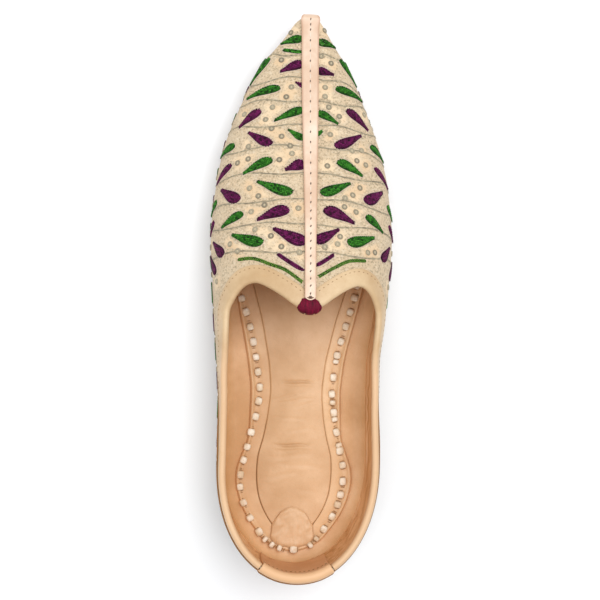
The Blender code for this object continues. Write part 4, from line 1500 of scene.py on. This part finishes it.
def strip_piece(material):
    """The strip along the ridge, over the band at the throat and folded down over the tip of the toe."""
    start = THROAT_POINT + (KNOT_LENGTH * 0.62 + 0.0012) / UPPER_LENGTH
    on_band = THROAT_POINT + 1.85 * BAND_WIDTH / UPPER_LENGTH
    ramp = 0.0045 / UPPER_LENGTH
    shares = (-1.0, -0.93, -0.75, -0.5, -0.25, 0.0, 0.25, 0.5, 0.75, 0.93, 1.0)

    def cross(along):
        """The strip's upper face at a place, from its left edge to its right one."""
        under = blend(STRIP_ON_BAND, GAP, ease((along - on_band) / ramp))
        row = []
        for share in shares:
            side = -1 if share < 0 else 1
            full = reach(side, along) - side * HALF * section(along).ridge
            rise = rise_across(along, min(strip_width(along) / 2 / full * abs(share), 0.98))
            crown = 0.0004 * (1 - share * share)
            row.append(spot(side, along, rise, under + STRIP_THICKNESS + crown))
        return row

    rows = [cross(along) for along in even(start, 0.955, 120)]
    nose = cross(NOSE)
    middle = nose[len(shares) // 2]
    ahead = (bare(1, NOSE, 1.0) - bare(1, NOSE - 0.01, 1.0)).normalized()
    fold_y = LENGTH / 2 - FOLD_GAP
    run = (fold_y - FOLD_RADIUS - middle.y) / ahead.y
    for distance in even(0.0, run, 6):
        at = middle + ahead * distance
        half = read(TIP, "half", fold_y - at.y)
        rows.append([at + Vector((share * half, 0, (point.z - middle.z) * blend(1.0, 0.5, distance / run)))
                     for share, point in zip(shares, nose)])
    flat = rows[-1]
    turn_at = flat[len(shares) // 2]
    slope = asin(-ahead.z)
    for turn in even(slope, pi / 2, 12)[1:]:
        y = FOLD_RADIUS * (sin(turn) - sin(slope)) / (1 - sin(slope))
        z = FOLD_RADIUS * (1 - cos(turn - slope))
        at = turn_at + Vector((0, y, -z))
        half = read(TIP, "half", fold_y - at.y)
        rows.append([at + Vector((share * half, 0, (point.z - turn_at.z) * 0.6))
                     for share, point in zip(shares, flat)])
    front = rows[-1]
    for drop in (0.0010, 0.0022, 0.0034):
        rows.append([point + Vector((-point.x * drop * 12, -drop * 0.25, -drop)) for point in front])
    strip = sheet_of("strip", rows, strip_out)
    # The edge mark, 0 in the middle and 1 at both cut edges, carries the strip's painted shade.
    mark_all(strip, "edge", [abs(share) for _ in rows for share in shares])
    thicken(strip, STRIP_THICKNESS, 0.00035)
    middle_line = [row[len(shares) // 2] for row in rows]
    return dress(smooth(strip, 60), material), middle_line


def strip_out(centre):
    return Vector((0, 0.3 if centre.y > 0.12 else 0.0, 1))


def strip_stitches(line):
    """Stitches down the middle of the strip, dark with the painted shade of their holes, closer towards both
    its ends, slanting to and fro.
    """
    length = sum((b - a).length for a, b in zip(line, line[1:]))
    goals, at = [], 0.0016
    while at < length - 0.0062:
        goals.append(at)
        from_tip = length - 0.006 - at
        at += blend(0.0036, 0.0053, ease((at - 0.03) / 0.03)) if from_tip > 0.012 else 0.0026
    places, travelled, count = [], 0.0, 0
    for a, b in zip(line, line[1:]):
        length = (b - a).length
        while count < len(goals) and goals[count] < travelled + length:
            ahead = (b - a).normalized()
            across = ahead.cross(Vector((0, 0, 1))).normalized()
            normal = across.cross(ahead)
            slant = (0.55 if count < 14 else 0.2) * (1 if count % 2 else 0.4)
            point = a.lerp(b, (goals[count] - travelled) / length) - normal * 0.00003
            places.append(set_in(point, (ahead + across * slant).normalized(), normal))
            count += 1
        travelled += length
    return places


def between(places):
    """Places for the thread that shows between each two stitches, as long as the gap asks; pale, it is partly
    a painted highlight along the strip's middle.
    """
    found = []
    for a, b in zip(places, places[1:]):
        ahead = b.translation - a.translation
        size = (0.55 * ahead.length / 0.001, 1, 1)
        found.append(set_in((a.translation + b.translation) / 2, ahead, a.to_3x3().col[2], size))
    return found


def knot_piece(material, random):
    """Threads wound over the throat's point, gathered flat at the front and fanning out to a round end."""
    along = THROAT_POINT + KNOT_LENGTH * 0.4 / UPPER_LENGTH
    centre = spot(1, along, 1.0, BAND_THICKNESS / 2 - WALL / 2)
    ahead = (bare(1, along + 0.01, 1.0) - bare(1, along - 0.01, 1.0)).normalized()
    up = Vector((1, 0, 0)).cross(ahead)
    half = Vector((KNOT_WIDTH / 2, KNOT_LENGTH / 2, KNOT_HEIGHT / 2))
    thread = 0.00030
    paths = []
    for fan in even(-1.0, 1.0, 30):
        pull = random.uniform(-0.00005, 0.00005)
        front = half.y * (0.62 - 0.45 * max(fan - 0.5, 0.0))
        end = -0.1 * half.y - 0.8 * half.y * sqrt(max(1 - (fan * 0.985) ** 2, 0.0))
        path = []
        for step in even(0.0, 1.0, 18):
            y = blend(front, end, sin(step * pi / 2))
            spread = blend(0.70, 1.0, ease((0.62 * half.y - y) / (0.9 * half.y)))
            side_fall = sqrt(max(1 - (fan * 0.97) ** 2, 0.0))
            top = 0.15 * half.y
            back_fall = sqrt(max(1 - ((top - y) / (top - end)) ** 2, 0.0)) if y < top else 1.0
            front_fall = blend(1.0, 0.86, ease((y - top) / (0.62 * half.y - top)))
            z = (half.z - thread) * side_fall ** 0.8 * back_fall ** 0.8 * front_fall
            sideways = Vector((fan * (half.x - thread) * spread + pull, 0, 0))
            path.append(centre + sideways + ahead * y + up * z)
        tuck = up * -0.0015
        paths.append([path[0] + tuck, *path, path[-1] + tuck])
    wound = threads("throat_knot_threads", paths, thread, sides=1)
    core = primitive(bpy.ops.mesh.primitive_uv_sphere_add, "core", segments=20, ring_count=12, radius=0.47)
    turn = Matrix((Vector((1, 0, 0)), ahead, up)).transposed().to_4x4()
    size = Matrix.Diagonal((KNOT_WIDTH * 0.90, KNOT_LENGTH * 0.70, KNOT_HEIGHT * 0.90, 1))
    core.data.transform(Matrix.Translation(centre) @ turn @ size)
    wound = join("knot", wound, core)
    scale = Vector((2600, 260, 300))
    mark(wound, "tone", lambda point: 0.5 + 0.6 * noise.noise(point * scale))
    return dress(smooth(wound, 80), material), centre, ahead, up


def strip_lip(material, dark, centre, ahead, up):
    """The strip's end, turned up in a small loop where it meets the knot, and the hole under it, a dark bead
    of painted shade.
    """
    path = []
    for share in even(-1.0, 1.0, 12):
        y = 0.0031 - 0.0010 * (1 - share * share)
        z = 0.0032 + 0.0001 * (1 - share * share)
        path.append(centre + Vector((share * 0.0021, 0, 0)) + ahead * y + up * z)
    dress(threads("strip_lip", [path], 0.00032, sides=2), material)
    place = set_in(centre + ahead * 0.0034 + up * 0.0036, Vector((1, 0, 0)), up)
    stitching("strip_hole_shade", [place], dark)


# The footbed


def insole_edge(side, along):
    """The insole's edge, rounded in at its front end."""
    edge = edge_share(side, along, SOLE_INSET + INSOLE_CLEARANCE)
    rounded = 0.06
    past = max(along - INSOLE_FRONT + rounded, 0.0) / rounded
    return edge * sqrt(1 - 0.55 * past ** 3)


def sock_edge(along):
    return read(FOOTBED, "sock", along)


def bell(off):
    """1 at nought, falling away softly on both sides."""
    return exp(-off * off)


def border_edge(side, along):
    return min(read(FOOTBED, "border", along), insole_edge(side, along) - GAP / reach(side, along))


def thong_line(side, along):
    return read(FOOTBED, "thong_left" if side < 0 else "thong_right", along)


def up_ways(_centre):
    return Vector((0, 0, 1))


def on_footbed(side, along, across, height):
    """A point at a height above the upper's margin, as the footbed's layers lie."""
    return spot(side, along, rise_across(along, across, top=False), -height)


def footbed_along():
    return [*even(0.0, HEEL_ROUND, 80), *even(HEEL_ROUND, 0.36, 130)[1:], *even(0.36, 0.86, 110)[1:]]


def crease_depth(x, y):
    """How far the creases dent the sock panel at a place, with the ridge that each pushes up behind it."""
    depth = 0.0
    for crease in CREASES:
        span_share = abs(x - crease.x) / crease.half_span
        if span_share < 1:
            bend = (x - crease.x) * crease.slope + 0.0004 * sin((x - crease.x) * 330)
            off = (y - crease.y - bend) / crease.half_width
            fade = (1 - span_share ** 2) ** 0.7
            depth += CREASE_STRENGTH * crease.depth * fade * (bell(off) - 0.5 * bell(off + 1.9))
    return depth


def seam_shade_share(side, along):
    """How much painted shade darkens the seam between sock and border at a place, near 1 where it gapes."""
    gape = ease((0.29 - along) / 0.06) * (1.0 if side < 0 else 0.5)
    return blend(0.984, 1.0, max(gape, ease((0.085 - along) / 0.02)))


def sock_shade_marks(side, rows, shares):
    """Painted shade: darker at the seam and along the bottom of each crease."""
    for along in rows:
        for share in shares:
            dent = crease_depth(*plan(side, along, sock_edge(along) * share))
            yield max(share * seam_shade_share(side, along), 0.962 + 0.013 * ease((dent - 0.00012) / 0.00015))


def footbed_sheet(name, rows, columns, place, edges=None):
    """A layer of the footbed: its halves laid at place(side, along, column) and welded along the middle."""
    halves = []
    for side in (-1, 1):
        half = grid(name, len(rows) - 1, columns, lambda row, column: place(side, rows[row], column), up_ways)
        mark_all(half, "edge", edges(side) if edges else [0.0] * len(rows) * (columns + 1))
        halves.append(half)
    return weld(name, halves)


def sock_piece(material):
    """The sock panel, rolled down at its seams, dimpled and creased across."""
    rows = footbed_along()
    shares = [*even(0.0, 0.90, 20), 0.93, 0.955, 0.972, 0.984, 0.993, 1.0]

    def place(side, along, column):
        share = shares[column]
        edge = sock_edge(along)
        x, y = plan(side, along, edge * share)
        soft = 0.00022 * wave(x * 110, y * 80, 1.5)
        soft += 0.00010 * wave(x * 420, y * 300, 4.5)
        roll = 0.0004 * ease(1 - (1 - share) * edge * reach(side, along) / 0.0006) ** 2
        return on_footbed(side, along, edge * share, PANEL_FACE + soft - crease_depth(x, y) - roll)

    sock = footbed_sheet("sock", rows, len(shares) - 1, place, lambda side: sock_shade_marks(side, rows, shares))
    return dress(smooth(thicken(sock, FOOTBED_SKIN), 60), material)


def thong_places():
    """Where the thong shows: for each stitch its side, its place along the line and whether it is short."""
    found = []
    for side, start, steps, short in ((-1, LEFT_START, LEFT_STEPS, LEFT_SHORT),
                                      (1, RIGHT_START, RIGHT_STEPS, RIGHT_SHORT)):
        line = [(along, Vector((*plan(side, along, thong_line(side, along)), 0)))
                for along in even(start, 0.0, 900)]
        goals = [0.0]
        for step in steps:
            goals.append(goals[-1] + step / 1000)
        travelled, at = 0.0, 0
        for (along, a), (_, b) in zip(line, line[1:]):
            while at < len(goals) and travelled >= goals[at]:
                found.append((side, along, at in short))
                at += 1
            travelled += (b - a).length
    found.append((1, 0.004, False))
    return found


def border_piece(material, stitches):
    """The border: rolled down at the inner seam, gathered under the thong and lipped at its outer edge."""
    rows = footbed_along()
    shares = [0.0, 0.02, 0.045, 0.08, *even(0.12, 0.88, 16), 0.93, 0.97, 1.0]
    marks = [Vector((*plan(side, along, thong_line(side, along)), 0)) for side, along, _ in stitches]

    def place(side, along, column):
        share = shares[column]
        inner = sock_edge(along) + 0.00004 / reach(side, along)
        outer = border_edge(side, along)
        across = blend(inner, outer, share)
        x, y = plan(side, along, across)
        from_thong = (across - thong_line(side, along)) * reach(side, along)
        near = min((Vector((x, y, 0)) - mark_at).length for mark_at in marks)
        pinch = 0.0004 * bell(near / 0.0021)
        groove = 0.0003 * bell(from_thong / 0.0016)
        width = (outer - inner) * reach(side, along)
        roll = 0.0004 * ease(1 - share * width / 0.0006) ** 2
        lip = 0.0010 * ease(1 - abs((1 - share) * width - 0.0012) / 0.0016)
        lip -= 0.0010 * ease(1 - (1 - share) * 12)
        soft = 0.00018 * wave(x * 300, y * 220, 7.5)
        return on_footbed(side, along, across, PANEL_FACE + soft + lip - pinch - groove - roll)

    # Painted shade along the border's inner seam, deepest where it gapes.
    def edges(side):
        return ((1 - share) * seam_shade_share(side, along) for along in rows for share in shares)

    border = footbed_sheet("border", rows, len(shares) - 1, place, edges)
    return dress(smooth(thicken(border, FOOTBED_SKIN), 60), material)


def tab_piece(material):
    """The half-round tab, domed, dimpled and rolled down at its front edge."""
    rows = [*even(0.0, 0.045, 24), *even(0.045, 0.0632, 26)[1:]]
    columns = 22

    def place(side, along, column):
        front = read(TAB, "front", along)
        rear = min(read(TAB, "rear", along), border_edge(side, along))
        across = blend(front, rear, column / columns)
        x, y = plan(side, along, across)
        inside = min((across - front), (rear - across)) * reach(side, along)
        roll = 0.0010 * (1 - ease(inside / 0.0016)) ** 2 + 0.0006 * (1 - ease((0.0632 - along) / 0.006))
        dimple = 0.00045 * wave(x * 260, y * 260, 2.0)
        dimple += 0.00022 * wave(x * 620, y * 620, 9.0)
        return on_footbed(side, along, across, TAB_FACE + 0.0004 + dimple - roll)

    tab = footbed_sheet("tab", rows, columns, place)
    return dress(smooth(thicken(tab, FOOTBED_SKIN), 60), material)


def thong_pieces(stitches, thong, slit_shade_finish, random):
    """The thong's puffed stitches, and the slits that each one dips into, dark with painted shade."""
    puff = primitive(bpy.ops.mesh.primitive_cube_add, "puff", size=1)
    bpy.ops.object.mode_set(mode="EDIT")
    bpy.ops.mesh.select_all(action="SELECT")
    bpy.ops.mesh.subdivide(number_cuts=3)
    bpy.ops.transform.tosphere(value=0.55)
    bpy.ops.transform.resize(value=(THONG, THONG, THONG_HEIGHT), center_override=(0, 0, 0))
    bpy.ops.object.mode_set(mode="OBJECT")
    places, slits, tones = [], [], []
    for side, along, short in stitches:
        across = thong_line(side, along)
        point = on_footbed(side, along, across, PANEL_FACE + 0.0002)
        if along < BACK_STITCHES:
            point.z += BACK_RAISE
        ahead = on_footbed(side, along + 0.002, thong_line(side, along + 0.002), PANEL_FACE) - point
        ahead = Vector((ahead.x, ahead.y, 0)).normalized()
        if along < 0.01:
            ahead = Vector((1, 0, 0))
        normal = Vector((0, 0, 1))
        turn = random.uniform(-0.16, 0.16)
        ahead = (ahead * cos(turn) + normal.cross(ahead) * sin(turn)).normalized()
        long = (0.62 if short else 1.0) * random.uniform(0.92, 1.1)
        wide = (0.85 if short else 1.0) * random.uniform(0.92, 1.08)
        places.append(set_in(point, ahead, normal, (long, wide, random.uniform(0.85, 1.1))))
        tones.append(random.uniform(0.3, 1.0))
        for end in (-1, 1):
            at = point + ahead * end * THONG * (long / 2 + 0.13) + normal * 0.0001
            slits.append(set_in(at, normal.cross(ahead), normal, (random.uniform(0.7, 1.05), 0.8, 1.0)))
            if random.random() < 0.4:
                at = at + ahead * end * THONG * random.uniform(0.22, 0.34)
                slits.append(set_in(at, normal.cross(ahead), normal, (random.uniform(0.4, 0.8), 0.7, 0.8)))
    dress(repeat("thong_stitches", puff, places, tones), thong)
    stitching("thong_slits", slits, slit_shade_finish)


def insole_piece(material):
    """The insole, soft at its edge, where it turns up the lining."""
    rows = [*even(0.0, HEEL_ROUND, 50), *even(HEEL_ROUND, INSOLE_FRONT - 0.002, 90)[1:]]
    climbs = (0.0, 0.16, 0.32, 0.48, 0.64, 0.8, 1.0)
    level, height = 6, INSOLE_FACE + INSOLE_LIFT

    def place(side, along, column):
        edge = insole_edge(side, along)
        if column <= level:
            return on_footbed(side, along, edge * blend(0.55, 0.955, column / level), height)
        climb = climbs[column - level]
        flat = on_footbed(side, along, edge * 0.955, height)
        feather = feather_rise(side, along)
        wall = spot(side, along, blend(feather, 0.0, 0.34 * climb), -WALL - blend(0.0010, 0.0003, climb))
        wall.z = max(wall.z, flat.z + 0.0034 * climb ** 1.5)
        return flat.lerp(wall, ease(climb * 1.2))

    cover = footbed_sheet("insole_cover", rows, level + len(climbs) - 1, place)
    return dress(smooth(thicken(cover, 0.0006), 70), material)


# The sole


def sole_piece(outsole, material):
    """The outsole with its edges rounded off."""
    sole = bpy.data.objects.new("sole", outsole.data.copy())
    bpy.context.collection.objects.link(sole)
    take(sole)
    bpy.ops.object.mode_set(mode="EDIT")
    bpy.ops.mesh.select_all(action="SELECT")
    bpy.ops.mesh.remove_doubles(threshold=1e-5)
    bpy.ops.mesh.tris_convert_to_quads()
    bpy.ops.object.mode_set(mode="OBJECT")
    change(sole, "BEVEL", width=0.0006, segments=2, limit_method="ANGLE", angle_limit=radians(40))
    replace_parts(sole, "outsole")
    return dress(smooth(sole, 45), material)


def sole_stitches():
    """A row of stitches in the tread, a few millimetres in from the sole's edge."""
    places = []
    for side in (-1, 1):
        path = []
        for along in even(0.0, 0.94, 260):
            across = edge_share(side, along, SOLE_INSET + SOLE_STITCH_INSET)
            x, y = plan(side, along, across)
            path.append(Vector((x, y, underside(along) + SOLE_STITCH_LIFT)))
        places += along_path(path, SOLE_STITCH_STEP, SOLE_STITCH_START, downwards)
    return places


# Camera, light and floor

Lamp = namedtuple("Lamp", "name place size power")
LAMPS = [
    Lamp("softbox", (0.20, 0.28, 1.20), 0.9, 10.7),
    Lamp("fill", (-0.7, -0.3, 1.0), 0.8, 3.0),
]
SKY = (0.93, 0.96, 1.0, 1.0)
SKY_STRENGTH = 0.62
EYE = Vector((-0.0417, -0.0083, 0.6000))
TARGET = Vector((0.0, -0.0040, 0.024))
UP_THE_PICTURE = Vector((-0.0330, 0.9995, 0.0))
FOCAL_LENGTH = 73.1


def studio():
    """A pale floor, soft light from above and a camera over the shoe, a little to its inner side."""
    floor = primitive(bpy.ops.mesh.primitive_plane_add, "floor", size=8, location=(0, 0, -0.0002))
    material, tree, shader = finish("pale_floor", 0.75)
    tone = grain_noise(tree, own_coords(tree), 3.0, 2.0)
    paint(tree, shader, mix(tree, tone, shade("F4F5F7"), shade("F8F8F8")))
    floor.data.materials.append(material)

    world = bpy.data.worlds.new("studio")
    bpy.context.scene.world = world
    world.use_nodes = True
    background = world.node_tree.nodes["Background"].inputs
    background["Color"].default_value = SKY
    background["Strength"].default_value = SKY_STRENGTH
    for lamp in LAMPS:
        light = bpy.data.lights.new(lamp.name, "AREA")
        light.energy = lamp.power
        light.size = lamp.size
        hung = bpy.data.objects.new(lamp.name, light)
        hung.location = lamp.place
        hung.rotation_euler = (-Vector(lamp.place)).to_track_quat("-Z", "Y").to_euler()
        bpy.context.collection.objects.link(hung)

    camera = bpy.data.cameras.new("overhead")
    camera.lens = FOCAL_LENGTH
    camera.sensor_width = 36.0
    over = bpy.data.objects.new("overhead", camera)
    back = (EYE - TARGET).normalized()
    right = UP_THE_PICTURE.cross(back).normalized()
    turn = Matrix((right, back.cross(right), back)).transposed()
    over.matrix_world = Matrix.Translation(EYE) @ turn.to_4x4()
    bpy.context.collection.objects.link(over)
    bpy.context.scene.camera = over
    bpy.context.scene.view_settings.view_transform = "Standard"


def main():
    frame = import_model()
    nodes = frame["nodes"]
    random = Random(7)

    cream = cloth_finish()
    green = thread_finish("green_silk", "12330A", "276616", "418C28")
    purple = thread_finish("purple_silk", "2A051B", "520C3C", "761C58")
    olive = thread_finish("olive_silk", "24450F", "45701C", "628A30")
    silver = thread_finish("silver_thread", "857B69", "AFA48C", "D6C6A6", 0.5)
    # Pale thread between the strip's stitches, partly a painted highlight along the strip's middle.
    pale_thread = plain_thread("pale_thread_and_highlight", "F4EBDD", "D8CBB8")
    outline = plain_thread("pale_thread", "E6D3C0", "C3AE9E")
    tan = lining_finish()
    band_leather = band_finish()
    # Dark beads that paint the shade of the strip's stitch holes and of the hole under its lip.
    stitch_hole_shade = plain_thread("stitch_hole_shade", "8A7666", "5E4E44")
    brown_thread = plain_thread("brown_thread", "A07A52", "7A5530")
    pale_stitch = plain_thread("pale_stitch", "D9C3A0", "A98A60")

    cloth = upper_sheet("cloth", 0.0, 16, 30, 34)
    face = BVHTree.FromPolygons([point.co for point in cloth.data.vertices],
                                [tuple(part.vertices) for part in cloth.data.polygons])
    side_green, side_purple = quarter_leaves()
    outlines = leaf_outlines(GREEN_LEAVES + side_green + PURPLE_LEAVES + side_purple, face)
    sweeps = sweep_paths(face)
    rings = ring_spots(side_green, side_purple)
    thicken(cloth, CLOTH_THICKNESS)
    mark(cloth, "line_gap", nearest_gap([point for path in outlines + sweeps for point in path]))
    mark(cloth, "ring_gap", nearest_gap([spot(*place) for place in rings]))
    dress(smooth(cloth, 60), cream)
    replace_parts(cloth, "upper")
    dress(smooth(nose_plug(), 80), cream)
    leaf_piece("green_leaves", GREEN_LEAVES + side_green, face, green, random)
    leaf_piece("purple_leaves", PURPLE_LEAVES + side_purple, face, purple, random)
    dress(threads("leaf_outlines", outlines, THREAD, closed=True), outline)
    swept = threads("silver_sweeps", sweeps + sweep_paths(face, 0.0004), THREAD)
    mark(swept, "tone", lambda point: 0.5 + noise.noise(point * 1400))
    dress(swept, silver)
    chain, tones = throat_stitches(face, random)
    stitching("throat_lines", chain, olive, tones)
    dress(ring_piece(ring_places(face, rings), random), silver)

    lining = upper_sheet("lining", -WALL, 10, 22, 20, lining_folds)
    thicken(lining, -(WALL - CLOTH_THICKNESS - 0.0001))
    dress(smooth(lining, 60), tan)

    rows = band_rows()
    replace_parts(band_piece(band_leather, rows), "collar_band")
    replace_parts(strap_piece(strap_finish()), "heel_strap")
    # The dark line outside the rim: the raw leather edge, deepened with painted shade.
    edge_shade = plain_thread("raw_edge_and_shade", "A87A4C", "7C5634")
    dress(threads("collar_edge", [collar_edge()], DARK_EDGE_LINE_RADIUS), edge_shade)
    stitching("strap_stitches", strap_stitches(), brown_thread)
    stitching("band_stitches", band_stitches(rows), brown_thread)

    rose = strip_finish()
    strip, line = strip_piece(rose)
    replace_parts(strip, "toe_strip")
    holes = strip_stitches(line)
    stitching("strip_stitches", holes, stitch_hole_shade)
    stitching("strip_thread_and_highlight", between(holes), pale_thread)
    maroon = thread_finish("maroon_silk", "33010F", "6A0628", "9A0F3A", 0.5)
    knot, centre, ahead, up = knot_piece(maroon, random)
    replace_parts(knot, "throat_knot")
    strip_lip(rose, stitch_hole_shade, centre, ahead, up)

    stitches = thong_places()
    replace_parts(sock_piece(footbed_finish("sock_tan", "D6AC80", "C69A6C", "E3BC92")), "sock_panel")
    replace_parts(border_piece(footbed_finish("border_tan", "E0B78A", "CFA275", "EAC49A"), stitches),
                "insole_border")
    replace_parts(tab_piece(footbed_finish("tab_tan", "D7AF84", "C59B72", "E3BD94")), "heel_tab")
    slit_shade = plain_thread("slit_shade", "B98F66", "946D48")
    thong_pieces(stitches, thong_finish(), slit_shade, random)
    insole_tan = footbed_finish("insole_tan", "DDAF7E", "C99864", "E9C193")
    insole_piece(insole_tan)
    insole = nodes["insole"]
    insole.data.materials.clear()
    insole.data.materials.append(insole_tan)

    sole_piece(nodes["outsole"], sole_finish())
    stitching("sole_stitches", sole_stitches(), pale_stitch)

    studio()


main()
